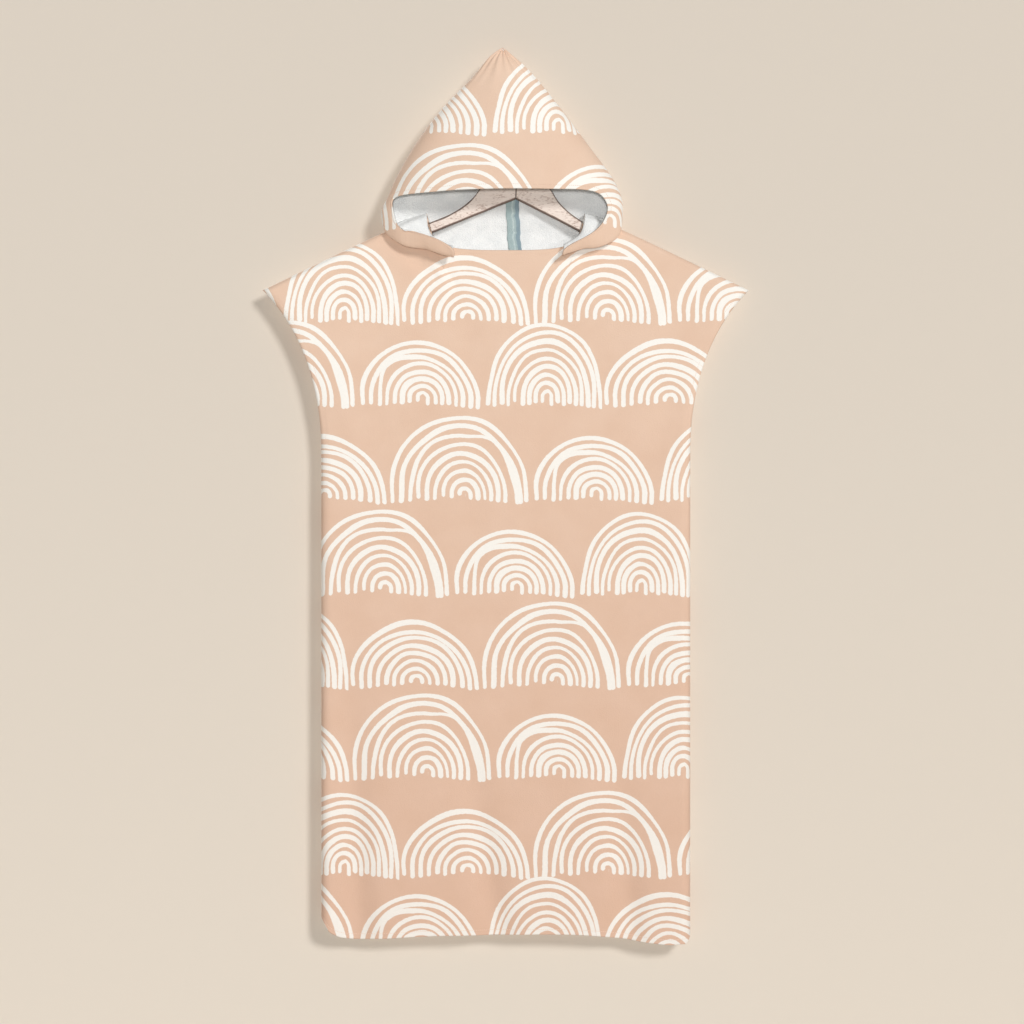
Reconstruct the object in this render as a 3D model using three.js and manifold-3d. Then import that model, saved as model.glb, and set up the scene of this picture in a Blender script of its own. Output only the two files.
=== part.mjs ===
// A hooded bath poncho of terry velour, hanging on a two-piece wooden clothes hanger.
// Millimetres, +Z up, the front of the garment towards -Y, the wearer's left on the +X side.
// The origin is the inner top of the hanger's hook, where a peg or rail carries it.
import * as THREE from "three";
import { mergeVertices } from "three/addons/utils/BufferGeometryUtils.js";
import Module from "manifold-3d";

// Driving dimensions
const CLOTH = 2.5; // terry velour, printed face and looped reverse in one cloth
const SEAM_GAP = 0.3; // air between two pieces that are sewn together
const BODY_X = -21.5; // middle of the body, to one side of the hook
const SLEEVE_TIP = { x: 364, z: -285 }; // half the width over the cap sleeves
const NECK_POINT = { x: 118, z: -172.5 }; // where shoulder seam and neckline meet
const BODY_HALF_WIDTH = 276.5;
const UNDERARM_Z = -523.5;
const HEM_Z = -1250;
const NECK_DROP_FRONT = 53.5;
const NECK_DROP_BACK = 60;
const NECK_SQUARENESS = 3.6; // power of the superellipse that rounds the neckline
const SEAM_EDGE = 1.2; // how thick each panel is where it is pressed into a seam
const SHOULDER_DEPTH = 10; // half the garment's depth at the shoulders
const HEM_DEPTH = 17; // half the garment's depth at the hem
const SHOULDER_ROUND = 9; // height over which the cloth turns over the shoulder
const SIDE_ROUND = 15; // width over which it turns round the side seam
const CUFF_GAP = 6; // half the opening between front and back at the armhole

const COLOURS = {
  print: 0xe4c3ac,
  tape: 0x9dbab6,
  wood: 0xcdb5a6,
  steel: 0xb9bbbd,
};

// Small helpers
const mix = (a, b, t) => a + (b - a) * t;
const clamp01 = (t) => Math.min(1, Math.max(0, t));
const smooth = (t) => {
  const s = clamp01(t);
  return s * s * (3 - 2 * s);
};
// Height of a quarter circle at share t of its width, and 1 beyond it.
const quarterRound = (t) => {
  const s = clamp01(t);
  return Math.sqrt(1 - (1 - s) ** 2);
};
const cubic = (a, b, c, d, t) =>
  a * (1 - t) ** 3 + 3 * b * t * (1 - t) ** 2 + 3 * c * t * t * (1 - t) + d * t ** 3;

// The t at which a monotone function of t reaches a value, by halving.
function solve(f, value) {
  const rising = f(1) > f(0);
  let [lo, hi] = [0, 1];
  for (let k = 0; k < 40; k++) {
    const mid = (lo + hi) / 2;
    if (f(mid) < value === rising) lo = mid;
    else hi = mid;
  }
  return (lo + hi) / 2;
}

// A smooth value between the rows of a table, by a cubic that keeps to the rows' own slopes.
function alongTable(rows, key, column, at) {
  const x = rows.map((row) => row[key]);
  const y = rows.map((row) => row[column]);
  const last = rows.length - 1;
  if (at <= x[0]) return y[0];
  if (at >= x[last]) return y[last];
  const k = x.findIndex((value) => value > at) - 1;
  const slope = (i) => {
    const lo = Math.max(0, i - 1);
    const hi = Math.min(last, i + 1);
    return (y[hi] - y[lo]) / (x[hi] - x[lo]);
  };
  const width = x[k + 1] - x[k];
  const t = (at - x[k]) / width;
  return cubic(
    y[k],
    y[k] + (slope(k) * width) / 3,
    y[k + 1] - (slope(k + 1) * width) / 3,
    y[k + 1],
    t,
  );
}

// The body's outline: shoulder, armhole, neckline and hem
const SHOULDER = {
  x: [NECK_POINT.x, 160, 200, SLEEVE_TIP.x],
  z: [NECK_POINT.z, -186, -205.5, SLEEVE_TIP.z],
};
const ARMHOLE = {
  x: [SLEEVE_TIP.x, 301.5, BODY_HALF_WIDTH, BODY_HALF_WIDTH],
  z: [SLEEVE_TIP.z, -348, -433.5, UNDERARM_Z],
};

function shoulderZ(x) {
  const across = Math.abs(x);
  if (across <= NECK_POINT.x) return NECK_POINT.z;
  const t = solve((s) => cubic(...SHOULDER.x, s), across);
  return cubic(...SHOULDER.z, t);
}

function necklineZ(x, drop) {
  const share = Math.min(1, Math.abs(x) / NECK_POINT.x);
  const sunk = (1 - share ** NECK_SQUARENESS) ** (1 / NECK_SQUARENESS);
  return NECK_POINT.z - drop * sunk;
}

function halfWidth(z) {
  if (z <= UNDERARM_Z) return BODY_HALF_WIDTH;
  if (z >= SLEEVE_TIP.z) return SLEEVE_TIP.x;
  const t = solve((s) => cubic(...ARMHOLE.z, s), z);
  return cubic(...ARMHOLE.x, t);
}

// The two hems, a row for each wave or corner: distance from the body's middle, and height.
const FRONT_HEM = [
  { x: -276.5, z: -1224 },
  { x: -268, z: -1241 },
  { x: -254, z: -1251 },
  { x: -232, z: -1256 },
  { x: -200, z: -1256 },
  { x: -120, z: -1252 },
  { x: 0, z: -1250 },
  { x: 110, z: -1250 },
  { x: 170, z: -1255 },
  { x: 215, z: -1262 },
  { x: 262, z: -1263.5 },
  { x: 272, z: -1261 },
  { x: 276.5, z: -1253 },
];
const BACK_HEM = [
  { x: -276.5, z: -1224 },
  { x: -262, z: -1240 },
  { x: -230, z: -1247 },
  { x: -60, z: -1250 },
  { x: 90, z: -1247 },
  { x: 230, z: -1253 },
  { x: 264, z: -1256 },
  { x: 276.5, z: -1253 },
];

// The soft troughs that fall to the hem: where each starts and ends, how wide and how deep it gets.
const FRONT_TROUGHS = [
  { topX: -238, topZ: -780, hemX: -188, width: 25, depth: 11 },
  { topX: -62, topZ: -880, hemX: 16, width: 26, depth: 9 },
  { topX: 178, topZ: -930, hemX: 212, width: 25, depth: 9 },
];
const BACK_TROUGHS = [
  { topX: -150, topZ: -820, hemX: -128, width: 30, depth: 8 },
  { topX: 40, topZ: -760, hemX: 66, width: 34, depth: 7 },
  { topX: 205, topZ: -900, hemX: 192, width: 26, depth: 8 },
];

const PANELS = {
  front: { side: -1, drop: NECK_DROP_FRONT, hem: FRONT_HEM, troughs: FRONT_TROUGHS },
  back: { side: 1, drop: NECK_DROP_BACK, hem: BACK_HEM, troughs: BACK_TROUGHS },
};

// How far a trough has sunk at a point: a bell across, growing from its start to the hem.
function troughDepth(trough, x, z) {
  const t = clamp01((trough.topZ - z) / (trough.topZ - HEM_Z));
  const middle = mix(trough.topX, trough.hemX, t);
  return trough.depth * smooth(t) * Math.exp(-(((x - middle) / trough.width) ** 2));
}

// Distance of a panel's outer or inner face from the seam plane, x from the body's middle.
// It rises in a quarter round from the shoulder seam and from the side seam or the armhole.
function panelDepth(panel, x, z, inside = false) {
  const cloth = inside ? CLOTH : 0;
  const closed = SEAM_GAP / 2;
  const fall = smooth((NECK_POINT.z - z) / (NECK_POINT.z - HEM_Z));
  const folds = panel.troughs.reduce((sum, trough) => sum + troughDepth(trough, x, z), 0);
  const full = mix(SHOULDER_DEPTH, HEM_DEPTH, fall) - folds - cloth;
  const upArmhole = clamp01((z - UNDERARM_Z) / (SLEEVE_TIP.z - UNDERARM_Z));
  const open = Math.sin(Math.PI * upArmhole) ** 0.7;
  const ridge = closed + (inside ? 0 : SEAM_EDGE);
  const edge = closed + CUFF_GAP * open + (inside ? 0 : mix(SEAM_EDGE, CLOTH, open));
  const fromSide = halfWidth(z) - Math.abs(x) - cloth;
  const fromShoulder = shoulderZ(x) - z - cloth;
  const atSide = mix(edge, full, quarterRound(fromSide / (SIDE_ROUND - cloth)));
  return mix(ridge, atSide, quarterRound(fromShoulder / (SHOULDER_ROUND - cloth)));
}

// Closed walls from grids of points
const point = (x, y, z) => new THREE.Vector3(x, y, z);

// The points of a grid moved inwards by a distance along its own normals.
function offsetGrid(grid, distance, wrap = false) {
  const rows = grid.length;
  const columns = grid[0].length;
  const column = (j) => (wrap ? (j + columns) % columns : Math.min(columns - 1, Math.max(0, j)));
  return grid.map((row, i) =>
    row.map((at, j) => {
      const up = grid[Math.min(rows - 1, i + 1)][j].clone();
      up.sub(grid[Math.max(0, i - 1)][j]);
      const across = row[column(j + 1)].clone().sub(row[column(j - 1)]);
      return at.clone().addScaledVector(up.cross(across).normalize(), distance);
    }),
  );
}

// One closed body between two grids. A wrapped grid closes round; a cap joins its last row to a point.
function wall(outer, inner, { wrap = false, caps = null } = {}) {
  const rows = outer.length;
  const columns = outer[0].length;
  const positions = [];
  const index = [];
  const add = (p) => positions.push(p.x, p.y, p.z) / 3 - 1;
  const out = outer.map((row) => row.map(add));
  const back = inner.map((row) => row.map(add));
  const quad = (a, b, c, d) => index.push(a, b, c, a, c, d);
  const next = (j) => (wrap ? (j + 1) % columns : j + 1);
  const spans = wrap ? columns : columns - 1;
  for (let i = 0; i < rows - 1; i++)
    for (let j = 0; j < spans; j++) {
      quad(out[i][j], out[i + 1][j], out[i + 1][next(j)], out[i][next(j)]);
      quad(back[i][j], back[i][next(j)], back[i + 1][next(j)], back[i + 1][j]);
    }
  for (let j = 0; j < spans; j++)
    quad(out[0][j], out[0][next(j)], back[0][next(j)], back[0][j]);
  if (caps) {
    const [outTip, backTip] = caps.map(add);
    for (let j = 0; j < spans; j++) {
      index.push(out[rows - 1][j], outTip, out[rows - 1][next(j)]);
      index.push(back[rows - 1][j], back[rows - 1][next(j)], backTip);
    }
  } else {
    for (let j = 0; j < spans; j++)
      quad(out[rows - 1][j], back[rows - 1][j], back[rows - 1][next(j)], out[rows - 1][next(j)]);
  }
  if (!wrap)
    for (let i = 0; i < rows - 1; i++) {
      quad(out[i][0], back[i][0], back[i + 1][0], out[i + 1][0]);
      const end = columns - 1;
      quad(out[i][end], out[i + 1][end], back[i + 1][end], back[i][end]);
    }
  const geometry = new THREE.BufferGeometry();
  geometry.setAttribute("position", new THREE.Float32BufferAttribute(positions, 3));
  geometry.setIndex(index);
  return facingOut(geometry);
}

// Turns every face round if the volume that they enclose is negative.
function facingOut(geometry) {
  const p = geometry.attributes.position;
  const index = geometry.index.array;
  const corner = (i) => new THREE.Vector3().fromBufferAttribute(p, index[i]);
  let volume = 0;
  for (let i = 0; i < index.length; i += 3)
    volume += corner(i).dot(corner(i + 1).cross(corner(i + 2)));
  if (volume < 0)
    for (let i = 0; i < index.length; i += 3)
      [index[i + 1], index[i + 2]] = [index[i + 2], index[i + 1]];
  return geometry;
}

// The body's panels: a column for each of these shares of the neck's half width, and of the
// stretch from there to the side, closer at the corners,
const IN_NECK = [0, 0.25, 0.48, 0.66, 0.79, 0.88, 0.94, 0.98, 1];
const BESIDE_NECK = [0.07, 0.18, 0.3, 0.42, 0.54, 0.66, 0.77, 0.86, 0.925, 0.965, 0.99, 1];
// and a row for each of these depths under the top edge, then at even steps down to the hem.
const TOP_STEPS = [0, 2, 4.5, 8, 15, 32];
const LOWER_ROWS = 12;

function columnShares() {
  const neck = NECK_POINT.x / SLEEVE_TIP.x;
  const half = [...IN_NECK.map((t) => t * neck), ...BESIDE_NECK.map((t) => mix(neck, 1, t))];
  const left = half.slice(1).map((share) => -share);
  return [...left.reverse(), ...half];
}

function panelPoint(panel, share, row, inside) {
  const topX = share * SLEEVE_TIP.x;
  const inNeck = Math.abs(topX) < NECK_POINT.x;
  const topZ = inNeck ? necklineZ(topX, panel.drop) : shoulderZ(topX);
  const hemZ = alongTable(panel.hem, "x", "z", share * BODY_HALF_WIDTH);
  const cornerZ = alongTable(panel.hem, "x", "z", Math.sign(share) * BODY_HALF_WIDTH);
  const last = TOP_STEPS.length - 1;
  const down = (from, to) => {
    if (row <= last) return from - TOP_STEPS[row];
    return mix(from - TOP_STEPS[last], to, (row - last) / LOWER_ROWS);
  };
  const x = share * halfWidth(down(SLEEVE_TIP.z, cornerZ));
  const z = down(topZ, hemZ);
  return point(BODY_X + x, panel.side * panelDepth(panel, x, z, inside), z);
}

function bodyPanel(panel) {
  const shares = columnShares();
  const rows = [...Array(TOP_STEPS.length + LOWER_ROWS).keys()];
  const face = (inside) =>
    rows.map((row) => shares.map((share) => panelPoint(panel, share, row, inside)));
  return wall(face(false), face(true));
}

// The hood: closed rings round the head, from the neckline up to the point.
// The first rings roll outwards over the body: left and right are a ring's reach from the middle,
// lift its height over the shoulder seams, and it sinks by a drop in front and one at the back,
// where it stands off the body's face by the other two sizes.
const HOOD_X = -27;
const ROLL_RINGS = [
  { left: 146, right: 146, lift: 5, frontDrop: 66, backDrop: 52, frontStand: 13, backStand: 9 },
  { left: 175, right: 178, lift: 6, frontDrop: 76, backDrop: 32, frontStand: 27, backStand: 10 },
];
const ROLL_POWER = 1.6; // how late a roll starts to sink on its way from the shoulder to the front
const STAND_POWER = 0.7; // and how soon it stands off the body

// Higher up, front and back are a ring's reach from the side line, and its front, sides and back
// have a height each.
const HOOD_SIDE_Y = -12; // the side line, where the outline from the front lies
const HOOD_RINGS = [
  { left: 181, right: 181, front: 42, back: 27, frontZ: -218, sideZ: -169, backZ: -176 },
  { left: 172, right: 179, front: 50, back: 26, frontZ: -178, sideZ: -148, backZ: -152 },
  { left: 160, right: 167, front: 54, back: 25, frontZ: -138, sideZ: -121, backZ: -125 },
  { left: 133, right: 133, front: 46, back: 23, frontZ: -82, sideZ: -73, backZ: -76 },
  { left: 90, right: 88, front: 30, back: 20, frontZ: -20, sideZ: -14, backZ: -16 },
  { left: 43, right: 47, front: 15, back: 16, frontZ: 32, sideZ: 35, backZ: 34 },
  { left: 19, right: 18, front: 8, back: 11, frontZ: 62, sideZ: 63, backZ: 62.5 },
];
const HOOD_TIP = { x: -26, y: -11, z: 78 };
const FRONT_POWER = 2.3; // how square the rings are in front
const BACK_POWER = 3.6; // and at the back, which hangs flat
const HOOD_COLUMNS = 48;
const HOOD_ROWS = 20;

const signed = (value, power) => Math.sign(value) * Math.abs(value) ** power;

const NECK_GAP = 0.8; // air between the hood's edge and the panels' faces under it
const RIDGE_GAP = 1.5; // and where it crosses the shoulder seams

// The neck seam: it follows the panels' neckline, on their outer faces and over the shoulder seam.
function neckSeam(angle) {
  const c = Math.cos(angle);
  const panel = c > 0 ? PANELS.front : PANELS.back;
  const sunk = Math.abs(c) ** ROLL_POWER;
  const share = (1 - sunk ** NECK_SQUARENESS) ** (1 / NECK_SQUARENESS);
  const x = NECK_POINT.x * share * Math.sign(Math.sin(angle));
  const z = NECK_POINT.z - panel.drop * sunk;
  const behind = c > 0 ? 0 : CLOTH * Math.abs(c) ** STAND_POWER;
  const y = panel.side * (panelDepth(panel, x, z) + NECK_GAP + behind);
  return point(BODY_X + x, y, z + mix(RIDGE_GAP, NECK_GAP, sunk));
}

function rollRing(ring, angle) {
  const c = Math.cos(angle);
  const s = Math.sin(angle);
  const power = 2 / (c > 0 ? FRONT_POWER : BACK_POWER);
  const x = HOOD_X + (s < 0 ? ring.left : ring.right) * signed(s, power);
  const panel = c > 0 ? PANELS.front : PANELS.back;
  const drop = (c > 0 ? ring.frontDrop : ring.backDrop) * Math.abs(c) ** ROLL_POWER;
  const z = shoulderZ(x - BODY_X) + ring.lift - drop;
  const stand = (c > 0 ? ring.frontStand : ring.backStand) * Math.abs(c) ** STAND_POWER;
  return point(x, panel.side * (panelDepth(panel, x - BODY_X, z) + stand), z);
}

function hoodRing(ring, angle) {
  const c = Math.cos(angle);
  const s = Math.sin(angle);
  const power = 2 / (c > 0 ? FRONT_POWER : BACK_POWER);
  const reach = s < 0 ? ring.left : ring.right;
  const depth = c > 0 ? ring.front : ring.back;
  const tilt = (ring.frontZ - ring.backZ) / 2;
  const sag = (ring.frontZ + ring.backZ) / 2 - ring.sideZ;
  return point(
    HOOD_X + reach * signed(s, power),
    HOOD_SIDE_Y - depth * signed(c, power),
    ring.sideZ + tilt * c + sag * c * c,
  );
}

// A point of the hood's printed face: angle 0 in front, along 0 at the neck seam and 1 at the point.
function hoodPoint(angle, along) {
  const knots = [neckSeam(angle)];
  for (const ring of ROLL_RINGS) knots.push(rollRing(ring, angle));
  for (const ring of HOOD_RINGS) knots.push(hoodRing(ring, angle));
  knots.push(point(HOOD_TIP.x, HOOD_TIP.y, HOOD_TIP.z));
  return new THREE.CatmullRomCurve3(knots, false, "centripetal").getPoint(along);
}

const HOOD_TOP = 0.985; // the last ring, just under the point

function hoodGrid() {
  const grid = [];
  for (let i = 0; i <= HOOD_ROWS; i++) {
    const row = [];
    for (let j = 0; j < HOOD_COLUMNS; j++)
      row.push(hoodPoint((2 * Math.PI * j) / HOOD_COLUMNS, (HOOD_TOP * i) / HOOD_ROWS));
    grid.push(row);
  }
  return grid;
}

// The face edge as seen from the front: up the left roll, along the brim and down the right roll.
const FACE_EDGE = [
  { x: -96, z: -230 },
  { x: -97, z: -219 },
  { x: -108, z: -212 },
  { x: -150, z: -194 },
  { x: -181, z: -179 },
  { x: -187, z: -164 },
  { x: -192, z: -149 },
  { x: -186, z: -140 },
  { x: -170, z: -137.5 },
  { x: -120, z: -134 },
  { x: -70, z: -132 },
  { x: -18, z: -130.5 },
  { x: 40, z: -130.5 },
  { x: 80, z: -132 },
  { x: 112, z: -135.5 },
  { x: 123, z: -141 },
  { x: 127, z: -152 },
  { x: 124.5, z: -165 },
  { x: 115, z: -177 },
  { x: 98, z: -192 },
  { x: 74, z: -208 },
  { x: 62, z: -218 },
  { x: 60, z: -228 },
];
const FACE_BACK_Y = -22; // the cut passes the front layer and leaves the underside of the rolls

// Between the rolls the front of the neckline is free: there the hood is cut away down to the body.
const NECK_OPENING = [
  { x: -96, z: -208 },
  { x: 60, z: -208 },
  { x: 60, z: -262 },
  { x: -96, z: -262 },
];
const NECK_OPENING_BACK_Y = -9;

function cutter(corners, backY) {
  const outline = new THREE.Shape(corners.map(({ x, z }) => new THREE.Vector2(x, z)));
  const prism = new THREE.ExtrudeGeometry(outline, { depth: 120, bevelEnabled: false });
  return solidOf(prism.rotateX(Math.PI / 2).translate(0, backY, 0));
}

// Booleans
const wasm = await Module();
wasm.setup();

function solidOf(geometry) {
  const bare = geometry.clone();
  for (const name of Object.keys(bare.attributes)) if (name !== "position") bare.deleteAttribute(name);
  const merged = mergeVertices(bare, 1e-4);
  return new wasm.Manifold(
    new wasm.Mesh({
      numProp: 3,
      vertProperties: new Float32Array(merged.attributes.position.array),
      triVerts: new Uint32Array(merged.index.array),
    }),
  );
}

function geometryOf(solid) {
  const made = solid.getMesh();
  const geometry = new THREE.BufferGeometry();
  geometry.setAttribute("position", new THREE.BufferAttribute(made.vertProperties, 3));
  geometry.setIndex(new THREE.BufferAttribute(made.triVerts, 1));
  return geometry;
}

function hood() {
  const outer = hoodGrid();
  const inner = offsetGrid(outer, CLOTH, true);
  const tip = point(HOOD_TIP.x, HOOD_TIP.y, HOOD_TIP.z);
  const caps = [tip, tip.clone().add(point(0, 0, -CLOTH))];
  const sac = solidOf(wall(outer, inner, { wrap: true, caps }));
  const face = cutter(FACE_EDGE, FACE_BACK_Y);
  const neck = cutter(NECK_OPENING, NECK_OPENING_BACK_Y);
  return geometryOf(sac.subtract(face).subtract(neck));
}

// The bound seam inside the back of the hood, a strip under the hood's own rows of points
const TAPE = { width: 19, thickness: 1.6, firstRow: 1, lastRow: 17, lean: 14 };
const TAPE_EDGES = [0.5, 0.17, -0.17, -0.5];

function seamTape() {
  const strip = [];
  for (let i = TAPE.firstRow; i <= TAPE.lastRow; i++) {
    const shift = TAPE.lean * (1 - i / TAPE.lastRow);
    const along = (HOOD_TOP * i) / HOOD_ROWS;
    strip.push(TAPE_EDGES.map((edge) => backAt(HOOD_X + shift + edge * TAPE.width, along)));
  }
  const face = CLOTH + 2 * SEAM_GAP;
  return wall(offsetGrid(strip, face), offsetGrid(strip, face + TAPE.thickness));
}

// The point on the back of the hood at a given x, found by turning round the ring.
function backAt(x, along) {
  const turn = (t) => Math.PI * mix(0.55, 1.45, t);
  const t = solve((s) => hoodPoint(turn(s), along).x, x);
  return hoodPoint(turn(t), along);
}

// The hanger, in its own upright frame: heights from the notch under the joint of its two arms
const NOTCH_Z = -148.6; // the notch, under the hook's inner top
const LEAN = THREE.MathUtils.degToRad(2.5); // how far the load pulls it out of level
const WOOD = 12;
const WOOD_BEVEL = 1.5;
const ARM_TOP = [
  { x: 0, z: 52 },
  { x: 12, z: 51 },
  { x: 28, z: 42 },
  { x: 42, z: 29 },
  { x: 52, z: 17 },
  { x: 62, z: 2 },
  { x: 77, z: -13 },
  { x: 96, z: -26 },
  { x: 121, z: -38 },
  { x: 150, z: -50 },
  { x: 185, z: -63 },
  { x: 212, z: -72 },
];
const ARM_BOTTOM = [
  { x: 0, z: 0 },
  { x: 60, z: -27.3 },
  { x: 120, z: -54.7 },
  { x: 160, z: -72 },
  { x: 200, z: -88 },
  { x: 212, z: -92 },
];
const ARM_END = { x: 220, z: -81 };
const ARM_STEPS = 14;
const SOCKET = { width: 2.5, depth: 16 }; // half of the slot that takes the hook's shank

function hangerArm(side) {
  const half = SEAM_GAP / 2;
  const reach = ARM_TOP.at(-1).x;
  const outline = new THREE.Shape();
  outline.moveTo(half, 0);
  for (let k = 1; k <= ARM_STEPS; k++) {
    const x = (reach * k) / ARM_STEPS;
    outline.lineTo(x, alongTable(ARM_BOTTOM, "x", "z", x));
  }
  outline.lineTo(ARM_END.x, ARM_END.z);
  for (let k = ARM_STEPS * 2; k > 0; k--) {
    const x = (reach * k) / (ARM_STEPS * 2);
    outline.lineTo(x, alongTable(ARM_TOP, "x", "z", x));
  }
  outline.lineTo(SOCKET.width, ARM_TOP[0].z);
  outline.lineTo(SOCKET.width, ARM_TOP[0].z - SOCKET.depth);
  outline.lineTo(half, ARM_TOP[0].z - SOCKET.depth);
  outline.closePath();
  const arm = new THREE.ExtrudeGeometry(outline, {
    depth: WOOD - 2 * WOOD_BEVEL,
    bevelEnabled: true,
    bevelThickness: WOOD_BEVEL,
    bevelSize: WOOD_BEVEL,
    bevelOffset: -WOOD_BEVEL,
    bevelSegments: 1,
  });
  arm.rotateX(Math.PI / 2).translate(0, WOOD / 2 - WOOD_BEVEL, NOTCH_Z);
  if (side < 0) arm.rotateZ(Math.PI);
  return arm;
}

// The hook: a steel wire that rises from the joint and bends over in a question mark.
const WIRE = 4;
const CROOK = 20; // inner radius
function hangerHook() {
  const middle = CROOK + WIRE / 2;
  const centreZ = -CROOK;
  const turn = (degrees) => {
    const a = THREE.MathUtils.degToRad(degrees);
    return point(middle * Math.cos(a), 0, centreZ + middle * Math.sin(a));
  };
  const footZ = NOTCH_Z + ARM_TOP[0].z - SOCKET.depth + SEAM_GAP;
  const route = [point(0, 0, footZ), point(0, 0, footZ + 22), point(0, 0, footZ + 40)];
  route.push(point(4, 0, centreZ - middle - 6));
  for (let degrees = -50; degrees <= 200; degrees += 25) route.push(turn(degrees));
  const path = new THREE.CatmullRomCurve3(route, false, "centripetal");
  const section = new THREE.Shape();
  section.absarc(0, 0, WIRE / 2, 0, 2 * Math.PI);
  const wire = new THREE.ExtrudeGeometry(section, {
    steps: 44,
    extrudePath: path,
    curveSegments: 5,
    bevelEnabled: false,
  });
  return wire;
}

// Assembly
const cloth = (colour) =>
  new THREE.MeshStandardMaterial({ color: colour, roughness: 0.95, side: THREE.FrontSide });
const wood = new THREE.MeshStandardMaterial({ color: COLOURS.wood, roughness: 0.7 });
const steel = new THREE.MeshStandardMaterial({ color: COLOURS.steel, roughness: 0.3, metalness: 1 });

function named(name, geometry, material) {
  const mesh = new THREE.Mesh(geometry, material);
  mesh.name = name;
  return mesh;
}

const poncho = new THREE.Group();
poncho.add(
  named("front_panel", bodyPanel(PANELS.front), cloth(COLOURS.print)),
  named("back_panel", bodyPanel(PANELS.back), cloth(COLOURS.print)),
  named("hood", hood(), cloth(COLOURS.print)),
  named("seam_tape", seamTape(), cloth(COLOURS.tape)),
);

const hanger = new THREE.Group();
hanger.rotation.y = LEAN;
hanger.add(
  named("hanger_arm_left", hangerArm(1), wood),
  named("hanger_arm_right", hangerArm(-1), wood),
  named("hanger_hook", hangerHook(), steel),
);
poncho.add(hanger);

export default poncho;
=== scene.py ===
# %% [markdown]
# # A hooded bath poncho on a wooden hanger
#
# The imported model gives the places: the origin is the inner top of the hanger's hook, +Z is up and
# the front of the garment faces -Y. Everything below is in metres around that point. The CAD walls
# are true but coarse, so each of them gets a finer surface here with the same form.

# %% Loading the frame
import math

import bmesh
import bpy
import numpy as np
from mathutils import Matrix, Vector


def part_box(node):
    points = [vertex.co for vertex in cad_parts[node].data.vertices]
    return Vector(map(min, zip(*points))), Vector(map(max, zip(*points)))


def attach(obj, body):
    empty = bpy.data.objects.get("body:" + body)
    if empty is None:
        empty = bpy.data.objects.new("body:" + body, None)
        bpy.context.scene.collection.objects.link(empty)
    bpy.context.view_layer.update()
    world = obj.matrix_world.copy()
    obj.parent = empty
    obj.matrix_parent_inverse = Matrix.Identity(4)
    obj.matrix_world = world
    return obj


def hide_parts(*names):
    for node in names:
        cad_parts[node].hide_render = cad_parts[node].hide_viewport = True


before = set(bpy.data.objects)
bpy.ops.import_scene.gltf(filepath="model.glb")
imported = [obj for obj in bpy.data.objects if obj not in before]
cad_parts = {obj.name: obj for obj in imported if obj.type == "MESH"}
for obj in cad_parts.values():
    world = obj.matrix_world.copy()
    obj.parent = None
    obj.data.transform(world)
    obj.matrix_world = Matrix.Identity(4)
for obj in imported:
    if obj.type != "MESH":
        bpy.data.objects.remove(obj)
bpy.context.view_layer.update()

MM = 0.001

# %% [markdown]
# ## The camera
#
# The photograph looks straight at the front with almost no perspective. A long lens from six
# metres gives that. One pixel is one and a half millimetres where the garment hangs.

# %% Camera
PIXEL = 1.5 * MM
FRAME_PIXELS = 1024
HOOK_PIXEL = (520.1, 100.3)  # where the hook's inner top lies in the photograph
DISTANCE = 6.0

camera_data = bpy.data.cameras.new("camera")
camera = bpy.data.objects.new("camera", camera_data)
bpy.context.scene.collection.objects.link(camera)
bpy.context.scene.camera = camera
middle = FRAME_PIXELS / 2
camera.location = (
    (middle - HOOK_PIXEL[0]) * PIXEL,
    -DISTANCE,
    (HOOK_PIXEL[1] - middle) * PIXEL,
)
camera.rotation_euler = (math.radians(90), 0, 0)
camera_data.sensor_width = 36.0
camera_data.lens = camera_data.sensor_width * DISTANCE / (FRAME_PIXELS * PIXEL)
camera_data.clip_end = 50
print("lens", round(camera_data.lens, 1), "mm")

# %% [markdown]
# ## The cut of the body
#
# Front and back are the same piece of cloth: straight sides, cap sleeves cut in one with the body,
# sloping shoulders and a squarish neckline. The lines below are those of the paper pattern, as the
# garment hangs. Curved stretches are Bezier curves, so four numbers give each one.

# %% Sizes of the body
CLOTH = 2.5 * MM
SEAM_GAP = 0.3 * MM
sleeve_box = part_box("front_panel")
BODY_X = (sleeve_box[0][0] + sleeve_box[1][0]) / 2
SLEEVE_X = (sleeve_box[1][0] - sleeve_box[0][0]) / 2
SLEEVE_Z = -285 * MM
NECK_X, NECK_Z = 118 * MM, -172.5 * MM
NECK_SQUARENESS = 3.6
SIDE_X, UNDERARM_Z, HEM_Z = 276.5 * MM, -523.5 * MM, -1250 * MM
SEAM_EDGE = 1.2 * MM
SHOULDER_DEPTH, HEM_DEPTH = 10 * MM, 17 * MM
SHOULDER_ROUND, SIDE_ROUND = 9 * MM, 15 * MM
CUFF_GAP = 6 * MM


def bezier(a, b, c, d, t):
    """A cubic Bezier: each of the four values weighted by its Bernstein polynomial."""
    return a * (1 - t) ** 3 + 3 * b * t * (1 - t) ** 2 + 3 * c * t * t * (1 - t) + d * t**3


STEPS = np.linspace(0, 1, 400)
shoulder_x = bezier(NECK_X, 160 * MM, 200 * MM, SLEEVE_X, STEPS)
shoulder_line = bezier(NECK_Z, -186 * MM, -205.5 * MM, SLEEVE_Z, STEPS)
armhole_x = bezier(SLEEVE_X, 301.5 * MM, SIDE_X, SIDE_X, STEPS)
armhole_z = bezier(SLEEVE_Z, -348 * MM, -433.5 * MM, UNDERARM_Z, STEPS)


def shoulder_z(x):
    """Height of the shoulder seam at a distance from the body's middle."""
    return np.interp(np.abs(x), shoulder_x, shoulder_line)


def half_width(z):
    """Half the body's width at a height: the armhole curve above, a straight side below."""
    return np.interp(z, armhole_z[::-1], armhole_x[::-1])


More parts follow.
